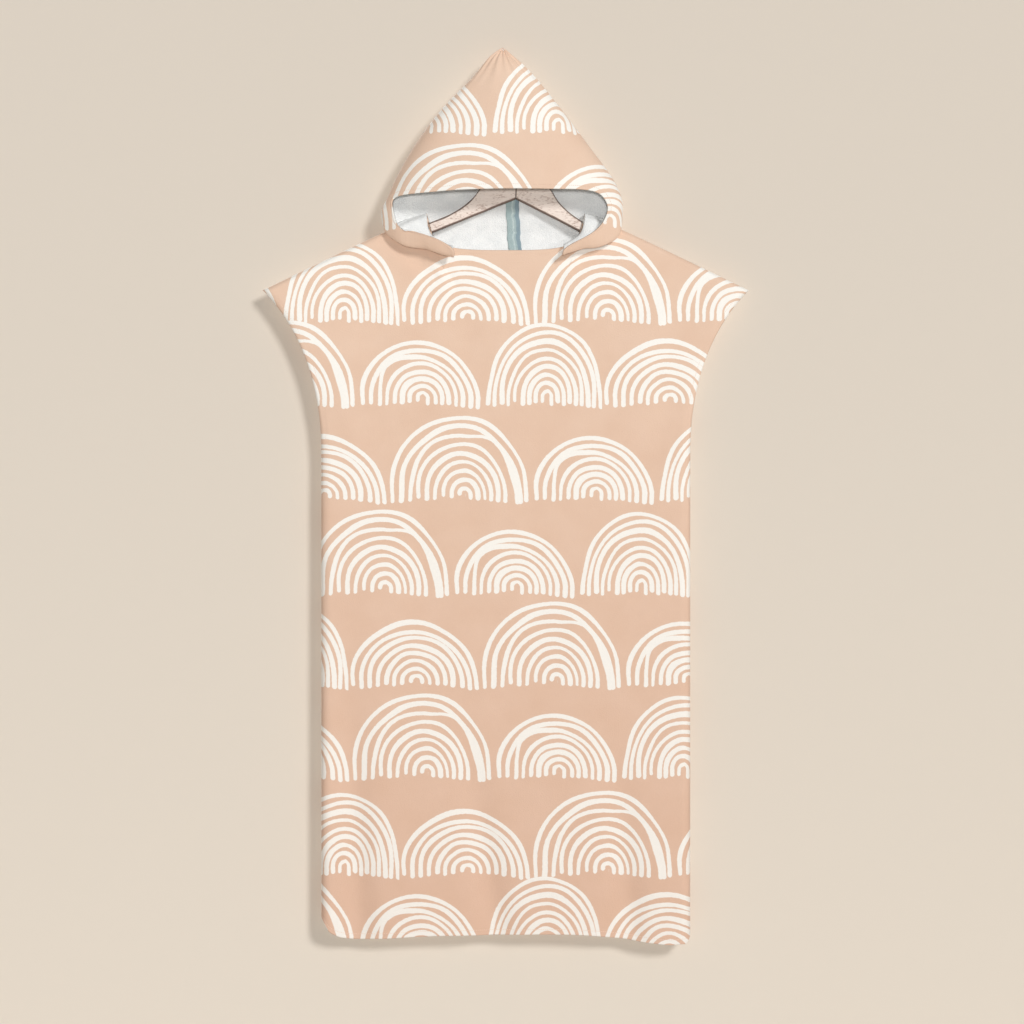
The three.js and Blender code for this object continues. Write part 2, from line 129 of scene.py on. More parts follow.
def neckline_z(x, drop):
    """A superellipse: the drop times (1 - |x / half width|^n)^(1/n), under the neck point."""
    share = np.clip(np.abs(x) / NECK_X, 0, 1)
    return NECK_Z - drop * (1 - share**NECK_SQUARENESS) ** (1 / NECK_SQUARENESS)


def smooth(t):
    """A soft step from 0 to 1: 3t^2 - 2t^3."""
    t = np.clip(t, 0, 1)
    return t * t * (3 - 2 * t)


def quarter_round(t):
    """Height of a quarter circle at share t of its width."""
    return np.sqrt(1 - (1 - np.clip(t, 0, 1)) ** 2)


def through(rows, at):
    """A smooth curve through rows of (place, value): Hermite cubics with central slopes."""
    place, value = np.array(rows, float).T
    slope = np.gradient(value, place)
    k = np.clip(np.searchsorted(place, at, side="right") - 1, 0, len(place) - 2)
    width = place[k + 1] - place[k]
    t = np.clip((at - place[k]) / width, 0, 1)
    return bezier(
        value[k],
        value[k] + slope[k] * width / 3,
        value[k + 1] - slope[k + 1] * width / 3,
        value[k + 1],
        t,
    )


# %% [markdown]
# ## How the body hangs
#
# A heavy towelling cloth on a hanger hangs almost flat. It falls into a few soft troughs that grow
# towards the hem, and it crumples a little where the hood weighs on it. Each trough is a bell
# across its width, and each crease is a bell that also fades at both ends.

# %% Hems and troughs
FRONT_HEM = [(-276.5, -1224), (-268, -1241), (-254, -1251), (-232, -1256), (-200, -1256),
             (-120, -1252), (0, -1250), (110, -1250), (170, -1255), (215, -1262),
             (262, -1263.5), (272, -1261), (276.5, -1253)]
BACK_HEM = [(-276.5, -1224), (-262, -1240), (-230, -1247), (-60, -1250), (90, -1247),
            (230, -1253), (264, -1256), (276.5, -1253)]
# top x, top z, x at the hem, width, depth
FRONT_TROUGHS = [(-240, -700, -222, 25, 11), (-74, -860, -14, 26, 10), (160, -900, 184, 25, 10)]
BACK_TROUGHS = [(-150, -820, -128, 30, 8), (40, -760, 66, 34, 7), (205, -900, 192, 26, 8)]
# middle x, middle z, length, angle, width, height: small creases, x from the body's middle
FRONT_CREASES = [
    (-128, -247, 62, -28, 7, -2.2), (-104, -252, 50, -44, 6, 1.6), (-149, -236, 58, -20, 8, 1.8),
    (-84, -262, 40, -60, 6, -1.5), (-170, -222, 48, -30, 8, -1.6), (-118, -275, 60, -55, 9, -1.2),
    (-152, -233, 44, -38, 4.5, -1.8), (-137, -240, 46, -46, 4.5, -2.2), (-121, -247, 42, -40, 5, -1.8),
    (118, -243, 62, 30, 7, -2.0), (96, -256, 46, 50, 6, 1.5), (142, -232, 56, 24, 8, 1.6),
    (160, -216, 40, 34, 8, -1.4), (84, -270, 44, 64, 8, -1.2), (-60, -330, 150, -78, 22, -1.2),
    (52, -350, 170, 80, 26, -1.3), (-215, -330, 150, -62, 24, -1.4), (222, -335, 150, 60, 24, 1.3),
    (-236, -470, 120, -76, 20, 1.4), (238, -480, 130, 78, 20, -1.4), (0, -620, 300, 88, 40, 1.0),
    (-130, -700, 260, -86, 34, -1.2), (120, -760, 260, 85, 36, 1.2),
]
BACK_CREASES = [
    (-110, -262, 80, -34, 12, -1.6), (104, -258, 84, 30, 12, -1.6), (0, -300, 160, 4, 22, 1.4),
    (-220, -340, 150, -60, 22, 1.3), (216, -350, 150, 62, 24, -1.4), (-40, -560, 300, -84, 36, 1.2),
    (130, -640, 300, 86, 36, -1.2), (-160, -720, 240, -88, 30, 1.2),
]
PANELS = {
    "front": dict(side=-1, drop=53.5 * MM, hem=FRONT_HEM, troughs=FRONT_TROUGHS,
                  creases=FRONT_CREASES),
    "back": dict(side=1, drop=60 * MM, hem=BACK_HEM, troughs=BACK_TROUGHS, creases=BACK_CREASES),
}


def trough_depth(troughs, x, z):
    """The sum of the troughs: a bell across each, growing by a soft step down to the hem."""
    total = np.zeros_like(x)
    for top_x, top_z, hem_x, width, depth in troughs:
        t = np.clip((top_z * MM - z) / (top_z * MM - HEM_Z), 0, 1)
        middle_x = (top_x + (hem_x - top_x) * t) * MM
        total += depth * MM * smooth(t) * np.exp(-(((x - middle_x) / (width * MM)) ** 2))
    return total


def creases(rows, x, z):
    """The sum of small creases: height times a bell across and a wider, flatter bell along."""
    total = np.zeros_like(x)
    for at_x, at_z, length, angle, width, height in rows:
        turn = math.radians(angle)
        dx, dz = x - at_x * MM, z - at_z * MM
        along = (dx * math.cos(turn) + dz * math.sin(turn)) / (length / 2 * MM)
        across = (dz * math.cos(turn) - dx * math.sin(turn)) / (width * MM)
        total += height * MM * np.exp(-(along**4) - across**2)
    return total


def panel_depth(panel, x, z, inside=False):
    """Distance from the seam plane: quarter rounds at shoulder and side, less the troughs."""
    cloth = CLOTH if inside else 0.0
    closed = SEAM_GAP / 2
    fall = smooth((NECK_Z - z) / (NECK_Z - HEM_Z))
    full = SHOULDER_DEPTH + (HEM_DEPTH - SHOULDER_DEPTH) * fall - cloth
    full = full - trough_depth(panel["troughs"], x, z) + creases(panel["creases"], x, z)
    up = np.clip((z - UNDERARM_Z) / (SLEEVE_Z - UNDERARM_Z), 0, 1)
    gap = np.sin(np.pi * up) ** 0.7
    ridge = closed + (0.0 if inside else SEAM_EDGE)
    edge = closed + CUFF_GAP * gap + (0.0 if inside else SEAM_EDGE + (CLOTH - SEAM_EDGE) * gap)
    from_side = half_width(z) - np.abs(x) - cloth
    from_shoulder = shoulder_z(x) - z - cloth
    at_side = edge + (full - edge) * quarter_round(from_side / (SIDE_ROUND - cloth))
    return ridge + (at_side - ridge) * quarter_round(from_shoulder / (SHOULDER_ROUND - cloth))


# %% [markdown]
# ## From grids to cloth
#
# A cloth wall is two grids of points, the printed face and the looped face, joined by a rim. The
# rim bulges a little, as a turned hem does. The pattern follows the cloth through a UV map whose
# unit is the metre, so the print keeps its real size.

# %% Mesh helpers
def new_object(name, verts, faces, uv=None, face_materials=None):
    """A mesh object from whole arrays, smooth shaded, with a UV per vertex."""
    mesh = bpy.data.meshes.new(name)
    mesh.from_pydata(verts.tolist(), [], faces)
    mesh.update()
    if uv is not None:
        corners = np.empty(len(mesh.loops), int)
        mesh.loops.foreach_get("vertex_index", corners)
        layer = mesh.uv_layers.new(name="cut")
        layer.data.foreach_set("uv", uv[corners].ravel())
    if face_materials is not None:
        mesh.polygons.foreach_set("material_index", np.asarray(face_materials, np.int32))
    mesh.polygons.foreach_set("use_smooth", np.ones(len(mesh.polygons), bool))
    obj = bpy.data.objects.new(name, mesh)
    bpy.context.scene.collection.objects.link(obj)
    return obj


def facing_out(obj):
    """Merge doubles and turn every face outwards."""
    shape = bmesh.new()
    shape.from_mesh(obj.data)
    bmesh.ops.remove_doubles(shape, verts=shape.verts, dist=1e-6)
    bmesh.ops.dissolve_degenerate(shape, edges=shape.edges, dist=1e-7)
    bmesh.ops.recalc_face_normals(shape, faces=shape.faces)
    shape.to_mesh(obj.data)
    shape.free()
    return obj


def quads(index, wrap=False):
    """Faces of a grid of vertex numbers; a wrapped grid closes its columns."""
    if wrap:
        index = np.hstack([index, index[:, :1]])
    return np.stack([index[:-1, :-1], index[1:, :-1], index[1:, 1:], index[:-1, 1:]], -1).reshape(-1, 4)


def border(index):
    """The border of a grid, once round."""
    return np.concatenate([index[0], index[1:, -1], index[-1, -2::-1], index[-2:0:-1, 0]])


def cloth_wall(name, outer, inner, uv, bulge=0.8 * MM):
    """Printed face, looped face and a rounded rim between their borders."""
    rows, columns = outer.shape[:2]
    index = np.arange(rows * columns).reshape(rows, columns)
    inward = np.clip(index, 0, None)
    inward = np.pad(index[1:-1, 1:-1], 1, mode="edge")
    ring, neighbour = border(index), border(inward)
    face, back = outer.reshape(-1, 3), inner.reshape(-1, 3)
    away = face[ring] - face[neighbour]
    away /= np.linalg.norm(away, axis=1, keepdims=True) + 1e-12
    rim = (face[ring] + back[ring]) / 2 + away * bulge
    flat_uv = uv.reshape(-1, 2)
    verts = np.vstack([face, back, rim])
    uvs = np.vstack([flat_uv, flat_uv, flat_uv[ring]])
    count = rows * columns
    rim_index = 2 * count + np.arange(len(ring))
    loops = [np.vstack([ring, rim_index]), np.vstack([rim_index, ring + count])]
    front = quads(index)
    behind = quads(index)[:, ::-1] + count
    sides = [quads(np.hstack([pair, pair[:, :1]])) for pair in loops]
    faces = [front, behind, *sides]
    slots = np.concatenate([np.zeros(len(front)), np.ones(len(behind))] + [np.zeros(len(s)) for s in sides])
    return new_object(name, verts, np.vstack(faces).tolist(), uvs, slots)


# %% [markdown]
# ## Front and back panel
#
# Columns crowd together at the corners of the neck and at the sides, where the cloth turns. Rows
# crowd under the shoulder and above the hem, where the stitched hems leave a shallow groove.

# %% Panels
def spread(count, ends):
    """Shares from 0 to 1 that crowd at both ends: a blend of even steps and a cosine."""
    t = np.linspace(0, 1, count)
    return (1 - ends) * t + ends * (1 - np.cos(np.pi * t)) / 2


HEM_STITCH = 7 * MM  # how far the row of stitches lies inside an edge
GROOVE = 0.45 * MM


def hem_relief(distance):
    """A turned hem: a swell along the edge and a groove where the stitches pull the cloth in."""
    swell = 0.5 * MM * smooth(1 - distance / (HEM_STITCH * 1.15))
    groove = GROOVE * np.exp(-(((distance - HEM_STITCH) / (1.6 * MM)) ** 2))
    return swell - groove


def panel_shares(drop):
    """Columns as shares of the half width, at the top and lower down.

    At the top they are spaced evenly along the neckline's curve, lower down evenly across it.
    """
    turn = np.sin(np.linspace(0, np.pi / 2, 2000)) ** (2 / NECK_SQUARENESS)
    line = np.stack([NECK_X * turn, neckline_z(NECK_X * turn, drop)], -1)
    gone = np.concatenate([[0], np.cumsum(np.linalg.norm(np.diff(line, axis=0), axis=1))])
    in_neck = np.interp(np.linspace(0, gone[-1], 56), gone, turn)
    neck = NECK_X / SLEEVE_X
    beside = neck + (1 - neck) * spread(46, 0.6)
    both = [np.concatenate([neck * t[:-1], beside]) for t in (in_neck, np.linspace(0, 1, 56))]
    return [np.concatenate([-half[:0:-1], half]) for half in both]


TOP_ROWS = np.array([0, 0.8, 1.8, 3, 4.5, 6, 7.5, 9.5, 12, 15.5, 20, 26, 34, 43, 54]) * MM
HEM_ROWS = np.array([24, 17, 12, 9.5, 8, 7, 6, 4.5, 3, 1.5, 0]) * MM


def panel_lines(panel, shares):
    """For each column: the heights of the top edge and of the hem, and the side's heights."""
    top_x = shares * SLEEVE_X
    in_neck = np.abs(top_x) < NECK_X
    top = np.where(in_neck, neckline_z(top_x, panel["drop"]), shoulder_z(top_x))
    hem = through(panel["hem"], shares * SIDE_X / MM) * MM
    corner = through(panel["hem"], np.sign(shares) * SIDE_X / MM) * MM
    return top, hem, corner


def down(top, hem):
    """Heights down a column: fixed steps at both ends and even ones between them."""
    upper = top[None, :] - TOP_ROWS[:, None]
    lower = hem[None, :] + HEM_ROWS[:, None]
    t = np.linspace(0, 1, 100)[1:-1, None]
    between = upper[-1] * (1 - t) + lower[0] * t
    return np.vstack([upper, between, lower])


def body_panel(name):
    panel = PANELS[name]
    shares, even_shares = panel_shares(panel["drop"])
    top, hem, corner = panel_lines(panel, shares)
    side_z = down(np.full_like(top, SLEEVE_Z), corner)
    z = down(top, hem)
    from_top = top[None, :] - z
    lower = smooth((from_top - 10 * MM) / (75 * MM))
    x = (shares[None, :] * (1 - lower) + even_shares[None, :] * lower) * half_width(side_z)
    in_neck = smooth((NECK_X * 0.97 - np.abs(shares * SLEEVE_X)) / (14 * MM))[None, :]
    relief = hem_relief(from_top) * in_neck + hem_relief(z - hem[None, :])
    up = np.clip((z - UNDERARM_Z) / (SLEEVE_Z - UNDERARM_Z), 0, 1)
    relief = relief + hem_relief(half_width(z) - np.abs(x)) * smooth(up * 8) * smooth((1 - up) * 8)
    walls = [
        np.stack([BODY_X + x, panel["side"] * (panel_depth(panel, x, z, inside) + extra), z], -1)
        for inside, extra in ((False, relief), (True, 0.0))
    ]
    uv = np.stack([-panel["side"] * (BODY_X + x), z], -1)
    return facing_out(cloth_wall(name + "_body", *walls, uv))


front_body = body_panel("front")
back_body = body_panel("back")
print("front panel", len(front_body.data.polygons), "faces")

# %% [markdown]
# ## The hood
#
# The hood is one sack of cloth. It is sewn to the neckline, rolls outwards over the body and rises
# to a soft point. A point of it is given by an angle, 0 in front and half a turn behind, and by how
# far along a smooth curve it lies from the neck seam to the point. Each curve runs through rings
# whose sizes are given in a table.

# %% Rings of the hood
HOOD_X, HOOD_SIDE_Y = -27, -12
# left and right reach, lift over the shoulder, drop and stand in front, drop and stand behind
ROLL_RINGS = [(146, 146, 5, 66, 13, 52, 9), (175, 178, 6, 76, 27, 32, 10)]
# left and right reach, depth in front and behind, height in front, at the sides and behind
HOOD_RINGS = [
    (181, 181, 42, 27, -218, -169, -176), (172, 179, 50, 26, -178, -148, -152),
    (160, 167, 54, 25, -138, -121, -125), (133, 133, 46, 23, -82, -73, -76),
    (90, 88, 30, 20, -20, -14, -16), (43, 47, 15, 16, 32, 35, 34), (19, 18, 8, 11, 62, 63, 62.5),
]
HOOD_TIP = (-26, -11, 78)
ROLL_POWER, STAND_POWER = 1.6, 0.7
FRONT_ROLL_POWERS = (1.15, 0.98)  # the front of the rolls, left and right, sinks sooner
FRONT_SQUARENESS, BACK_SQUARENESS = 2.3, 3.6
NECK_GAP, RIDGE_GAP = 0.8 * MM, 1.5 * MM


def signed_power(value, power):
    return np.sign(value) * np.abs(value) ** power


def both_depths(front, x, z):
    """Depth of the front panel where front is true and of the back panel elsewhere."""
    plain = [dict(PANELS[name], creases=[]) for name in ("front", "back")]
    return np.where(front, panel_depth(plain[0], x, z), panel_depth(plain[1], x, z))


def neck_seam(angle):
    """The neckline lifted off the panels' faces; it sinks with |cos|^1.6 towards its middle."""
    s, c = np.sin(angle), np.cos(angle)
    front = c > 0
    sunk = np.abs(c) ** ROLL_POWER
    share = (1 - sunk**NECK_SQUARENESS) ** (1 / NECK_SQUARENESS)
    x = NECK_X * share * np.sign(s)
    z = NECK_Z - np.where(front, PANELS["front"]["drop"], PANELS["back"]["drop"]) * sunk
    lap = np.where(front, 0, CLOTH * np.abs(c) ** STAND_POWER)
    y = np.where(front, -1, 1) * (both_depths(front, x, z) + NECK_GAP + lap)
    return np.stack([BODY_X + x, y, z + RIDGE_GAP + (NECK_GAP - RIDGE_GAP) * sunk], -1)


def ring_x(left, right, s, c):
    """A superellipse across: reach times |sin|^(2/n), with n larger at the flat back."""
    power = 2 / np.where(c > 0, FRONT_SQUARENESS, BACK_SQUARENESS)
    return (HOOD_X + np.where(s < 0, left, right) * signed_power(s, power)) * MM


def roll_ring(ring, angle):
    """A ring that lies over the shoulders and sinks in front and behind, off the panels' faces."""
    left, right, lift, front_drop, front_stand, back_drop, back_stand = ring
    s, c = np.sin(angle), np.cos(angle)
    front = c > 0
    x = ring_x(left, right, s, c)
    power = np.where(front, np.where(s < 0, *FRONT_ROLL_POWERS), ROLL_POWER)
    drop = np.where(front, front_drop, back_drop) * MM * np.abs(c) ** power
    z = shoulder_z(x - BODY_X) + lift * MM - drop
    stand = np.where(front, front_stand, back_stand) * MM * np.abs(c) ** STAND_POWER
    return np.stack([x, np.where(front, -1, 1) * (both_depths(front, x - BODY_X, z) + stand), z], -1)


def hood_ring(ring, angle):
    """A ring round the head: height = side + tilt cos + sag cos^2."""
    left, right, front_depth, back_depth, front_z, side_z, back_z = ring
    s, c = np.sin(angle), np.cos(angle)
    power = 2 / np.where(c > 0, FRONT_SQUARENESS, BACK_SQUARENESS)
    y = HOOD_SIDE_Y - np.where(c > 0, front_depth, back_depth) * signed_power(c, power)
    tilt, sag = (front_z - back_z) / 2, (front_z + back_z) / 2 - side_z
    z = side_z + tilt * c + sag * c * c
    return np.stack([ring_x(left, right, s, c), y * MM, z * MM], -1)


def hood_point(angle, along):
    """The centripetal Catmull-Rom curve through the rings' points at one angle."""
    angle, along = np.broadcast_arrays(angle, along)
    knots = [neck_seam(angle)]
    knots += [roll_ring(ring, angle) for ring in ROLL_RINGS]
    knots += [hood_ring(ring, angle) for ring in HOOD_RINGS]
    knots.append(np.broadcast_to(np.array(HOOD_TIP) * MM, knots[0].shape))
    knots = np.stack([2 * knots[0] - knots[1], *knots, 2 * knots[-1] - knots[-2]])
    spans = len(knots) - 3
    place = along * spans
    span = np.clip(np.floor(place).astype(int), 0, spans - 1)
    t = (place - span)[..., None]
    p = [np.take_along_axis(knots, (span + k)[None, ..., None], 0)[0] for k in range(4)]
    d = [np.sqrt(np.linalg.norm(p[k + 1] - p[k], axis=-1, keepdims=True)) + 1e-9 for k in range(3)]
    d = [np.where(gap < 1e-6, d[1], gap) for gap in d]
    start = ((p[1] - p[0]) / d[0] - (p[2] - p[0]) / (d[0] + d[1]) + (p[2] - p[1]) / d[1]) * d[1]
    end = ((p[2] - p[1]) / d[1] - (p[3] - p[1]) / (d[1] + d[2]) + (p[3] - p[2]) / d[2]) * d[1]
    return bezier(p[1], p[1] + start / 3, p[2] - end / 3, p[2], t)


# %% [markdown]
# ## The face opening
#
# The hem round the face runs up the left roll, along the brim and down the right roll. Its line is
# known as it looks from the front, so it is first found in the hood's own terms, angle and share,
# by looking for the nearest point of the hood's front and then closing in with Newton's method. The
# cloth is then every straight path, in those terms, from the hem to the middle of the back.

# %% The hem round the face
# x, z as the camera sees them on the plane y = 0, from the left end at the neck to the right end
FACE_EDGE = [
    (-98, -228), (-104, -220.5), (-126, -208), (-155, -199.5), (-177, -193), (-186, -184),
    (-190, -169), (-193, -154), (-189, -146), (-174, -141.5), (-140, -138), (-101, -134.5),
    (-50, -132.5), (-6, -132), (50, -132.5), (90, -133.5), (115, -138), (127, -148),
    (132, -161), (128.5, -176), (119, -190), (101, -203.5), (78, -216), (66, -224), (63, -231),
]
EDGE_FROM_Z = -219 * MM
OPENING_Y = -22 * MM  # the opening lies in the hood's front layer, in front of this plane
FOLD, TUCK = 0.2, 4 * MM  # the rolls fold under here; the edge underneath is tucked out of sight


def catmull(points, count):
    """A smooth path of evenly spaced points through a few given ones."""
    p = np.array(points, float)
    p = np.vstack([2 * p[0] - p[1], p, 2 * p[-1] - p[-2]])
    t = np.linspace(0, 1, 24, endpoint=False)[:, None, None]
    a, b, c, d = (p[k : len(p) - 3 + k][None] for k in range(4))
    path = bezier(b, b + (c - a) / 6, c - (d - b) / 6, c, t)
    path = np.vstack([path.transpose(1, 0, 2).reshape(-1, p.shape[1]), p[-2]])
    gone = np.concatenate([[0], np.cumsum(np.linalg.norm(np.diff(path, axis=0), axis=1))])
    at = np.linspace(0, gone[-1], count)
    return np.stack([np.interp(at, gone, column) for column in path.T], -1)


def as_seen(points):
    """Where the camera sees points on the plane y = 0: offsets from its axis times D / (D + y)."""
    axis = np.array([camera.location.x, camera.location.z])
    return axis + (points[..., [0, 2]] - axis) * DISTANCE / (DISTANCE + points[..., 1:2])


def find_on_hood(target):
    """The (angle, along) whose point the camera sees at each (x, z), on the front layer."""
    angles, alongs = np.meshgrid(np.radians(np.linspace(-100, 100, 260)), np.linspace(0.2, 0.62, 160))
    layer = hood_point(angles, alongs)
    far = np.linalg.norm(as_seen(layer)[None] - target[:, None, None, :], axis=-1)
    far += np.where(layer[..., 1] < OPENING_Y, 0, 1)
    nearest = far.reshape(len(target), -1).argmin(1)
    found = np.stack([angles.ravel()[nearest], alongs.ravel()[nearest]], -1)
    step = 1e-4
    for _ in range(12):
        here = as_seen(hood_point(*found.T))
        by_angle = (as_seen(hood_point(found[:, 0] + step, found[:, 1])) - here) / step
        by_along = (as_seen(hood_point(found[:, 0], found[:, 1] + step)) - here) / step
        slope = np.stack([by_angle, by_along], -1) + 1e-6 * np.eye(2)
        move = np.linalg.solve(slope, (target - here)[..., None])[..., 0]
        found += np.clip(move, [-0.03, -0.01], [0.03, 0.01])
        found[:, 1] = np.maximum(found[:, 1], FOLD)
    miss = np.linalg.norm(as_seen(hood_point(*found.T)) - target, axis=1)
    print("face edge found to", round(miss.max() / MM, 2), "mm")
    return found


def angle_at(x, along, low, high):
    """The angle between low and high at which a ring passes x, by halving."""
    low, high = np.full_like(x, low), np.full_like(x, high)
    rising = hood_point(high, along)[..., 0] > hood_point(low, along)[..., 0]
    for _ in range(30):
        mid = (low + high) / 2
        short = (hood_point(mid, along)[..., 0] < x) == rising
        low, high = np.where(short, mid, low), np.where(short, high, mid)
    return (low + high) / 2


def face_edge():
    """The hem in (angle, along): up the underside of the left roll, round, and down to the neck."""
    front = find_on_hood(catmull(FACE_EDGE, 220) * MM)
    under = np.linspace(0, 1, 24)[:-1]
    ends = []
    for angle, along in (front[0], front[-1]):
        x = hood_point(angle, along)[0] + np.sign(angle) * TUCK * (1 - under**3)
        share = under * along
        ends.append(np.stack([angle_at(x, share, -1.2, 1.2), share], -1))
    edge = np.vstack([ends[0], front, ends[1][::-1]])
    kernel = np.array([1, 4, 6, 4, 1]) / 16
    padded = np.pad(edge, ((2, 2), (0, 0)), mode="edge")
    soft = np.stack([np.convolve(column, kernel, "valid") for column in padded.T], -1)
    soft[[0, -1]] = edge[[0, -1]]
    return soft


EDGE = face_edge()
edge_points = hood_point(*EDGE.T)
edge_length = np.concatenate([[0], np.cumsum(np.linalg.norm(np.diff(edge_points, axis=0), axis=1))])
print("face hem", round(edge_length[-1], 3), "m long")

# %% [markdown]
# ## Cloth of the hood
#
# The cloth gets its small relief here: the hem round the face with its groove of stitches, gathers
# under the point, and soft waves where it rolls over the shoulders. A Solidify modifier then gives
# the sheet its thickness, with the loops on the inside.

# %% The hood's sheet
SIDE_COLUMNS, BRIM_COLUMNS, HOOD_ROWS = 90, 130, 96
HOOD_CUT = 404.5 * MM  # the hood was cut from this far down the printed cloth
HOOD_PRINT = (0.93, -13.4 * MM)  # how far its print is pulled wide, and to which side
HOOD_PLAIN = (-207 * MM, 60 * MM)  # below and above these heights its cloth shows plain ground
BRIM_CORNERS = (0.30, 0.73)  # shares of the hem's length where the sides meet the brim
SIDE_LOW = (0.18, 0.838)  # shares where the hem leaves the rolls, equal shares of both sides
BACK_SHIFT = 214 * MM  # the back of the hood was cut from another stretch of the print


def hood_sheet():
    """Straight paths in (angle, along) from the hem to the back seam or, from the brim, the tip."""
    share = edge_length / edge_length[-1]
    left, right = BRIM_CORNERS
    stretches = [(0, left, SIDE_COLUMNS), (left, right, BRIM_COLUMNS), (right, 1, SIDE_COLUMNS)]
    u = np.concatenate([np.linspace(a, b, n, endpoint=False) for a, b, n in stretches] + [[1.0]])
    start = np.stack([np.interp(u, share, column) for column in EDGE.T], -1)
    end_along = np.interp(u, [0, SIDE_LOW[0], left, right, SIDE_LOW[1], 1], [0, 0.2, 1, 1, 0.2, 0])
    end_angle = np.interp(u, [0, left, right, 1], [-np.pi, -np.pi, np.pi, np.pi])
    v = spread(HOOD_ROWS, 0.35)[:, None]
    angle = start[:, 0] * (1 - v) + end_angle * v
    along = start[:, 1] * (1 - v) + end_along * v
    return angle, along


def outward_normals(points, centre):
    """Unit normals of a grid from its own slopes, turned away from a centre line."""
    by_row = np.gradient(points, axis=0)
    by_column = np.gradient(points, axis=1)
    normal = np.cross(by_column, by_row)
    length = np.linalg.norm(normal, axis=-1, keepdims=True)
    normal = np.where(length > 1e-10, normal / (length + 1e-12), np.array([0.0, 0, 1]))
    return normal * np.sign((normal * (points - centre)).sum(-1).mean())


def hood_uv(angle, along):
    """Along a ring from the middle of the front, and the height, unrolled under the third ring."""
    rings = np.linspace(0, 1, 120)
    turns = np.linspace(-np.pi, np.pi, 361)
    table = hood_point(turns[None, :], rings[:, None])
    steps = np.linalg.norm(np.diff(table, axis=1) * np.array([1, 0.7, 0.7]), axis=-1)
    around = np.concatenate([np.zeros((len(rings), 1)), np.cumsum(steps, 1)], 1)
    around -= around[:, 180:181]
    climb = np.linalg.norm(np.diff(table, axis=0), axis=-1)
    up = np.concatenate([np.zeros((1, len(turns))), np.cumsum(climb, 0)], 0)
    known = 5 / 10
    k = int(round(known * (len(rings) - 1)))
    unrolled = table[k, :, 2] + np.minimum(up - up[k], 0)
    height = np.where(np.arange(len(rings))[:, None] > k, table[..., 2], unrolled)
    i = np.clip(along * (len(rings) - 1), 0, len(rings) - 1.001)
    j = np.clip((angle + np.pi) / (2 * np.pi) * 360, 0, 359.999)
    i0, j0 = i.astype(int), j.astype(int)
    fi, fj = i - i0, j - j0
    read = lambda t: (
        (t[i0, j0] * (1 - fj) + t[i0, j0 + 1] * fj) * (1 - fi)
        + (t[i0 + 1, j0] * (1 - fj) + t[i0 + 1, j0 + 1] * fj) * fi
    )
    across = HOOD_X * MM + read(around)
    up_cloth = np.clip(read(height), *HOOD_PLAIN) - HOOD_CUT
    turn_side = (angle[1:, 1:] - angle[1:, :-1]) * (along[1:, 1:] - along[:-1, 1:])
    turn_side -= (along[1:, 1:] - along[1:, :-1]) * (angle[1:, 1:] - angle[:-1, 1:])
    print("hood cells folded back", int((turn_side > 1e-9).sum()), "or", int((turn_side < -1e-9).sum()))
    return np.stack([across * HOOD_PRINT[0] + HOOD_PRINT[1], up_cloth], -1)


angle, along = hood_sheet()
hood_face = hood_point(angle, along)
hood_middle = np.array([HOOD_X, HOOD_SIDE_Y, -90]) * MM
normals = outward_normals(hood_face, hood_middle)
from_edge = np.cumsum(
    np.linalg.norm(np.diff(hood_face, axis=0, prepend=hood_face[:1]), axis=-1), axis=0
)
in_body = smooth((along - 0.02) / 0.06)
relief = hem_relief(from_edge) * in_body
under_tip = smooth((along - 0.72) / 0.2) * smooth((1 - along) / 0.03)
relief += under_tip * 0.9 * MM * np.sin(17 * angle + 1.3 * np.sin(3 * angle + along * 6))
roll = smooth((along - 0.03) / 0.08) * smooth((0.42 - along) / 0.2)
relief += roll * 1.1 * MM * np.sin(9 * angle + 14 * along) * np.sin(5 * angle + 0.7)
body = smooth((along - 0.4) / 0.1) * smooth((0.95 - along) / 0.1)
relief += body * 0.9 * MM * np.sin(4 * angle + 9 * along) * np.sin(3 * angle - 5 * along + 1)
relief *= smooth((np.pi - np.abs(angle)) / 0.2)  # flat at the seam, so that both sides meet
hood_face = hood_face + normals * relief[..., None]

grid = quads(np.arange(hood_face[..., 0].size).reshape(angle.shape))
facing = np.cross(
    hood_face.reshape(-1, 3)[grid[:, 1]] - hood_face.reshape(-1, 3)[grid[:, 0]],
    hood_face.reshape(-1, 3)[grid[:, 3]] - hood_face.reshape(-1, 3)[grid[:, 0]],
)
if (facing * normals.reshape(-1, 3)[grid[:, 0]]).sum() < 0:
    grid = grid[:, ::-1]
hood_piece = new_object(
    "hood_cloth", hood_face.reshape(-1, 3), grid.tolist(), hood_uv(angle, along).reshape(-1, 2)
)
# Behind the side seams the cloth is a second piece, printed straight across as seen from behind.
back_uv = np.stack([
    (HOOD_X * MM - hood_face[..., 0]) * HOOD_PRINT[0] + BACK_SHIFT,
    np.minimum(hood_face[..., 2], HOOD_PLAIN[1]) - HOOD_CUT,
], -1).reshape(-1, 2)
corners = np.empty(len(hood_piece.data.loops), int)
hood_piece.data.loops.foreach_get("vertex_index", corners)
cut = hood_piece.data.uv_layers["cut"].data
flat_uv = np.empty(2 * len(corners))
cut.foreach_get("uv", flat_uv)
behind = np.abs(angle.ravel()[corners].reshape(-1, 4).mean(1)).repeat(4) > math.pi / 2
flat_uv = np.where(behind[:, None], back_uv[corners], flat_uv.reshape(-1, 2))
cut.foreach_set("uv", flat_uv.ravel())

# In a tight fold the wall is pressed thinner than the fold's own radius.
def around(values, choose):
    """The chosen value, such as the least, of each grid point and its eight neighbours."""
    rows, columns = values.shape
    wide = np.pad(values, 1, mode="edge")
    return choose([wide[i : i + rows, j : j + columns] for i in range(3) for j in range(3)], axis=0)


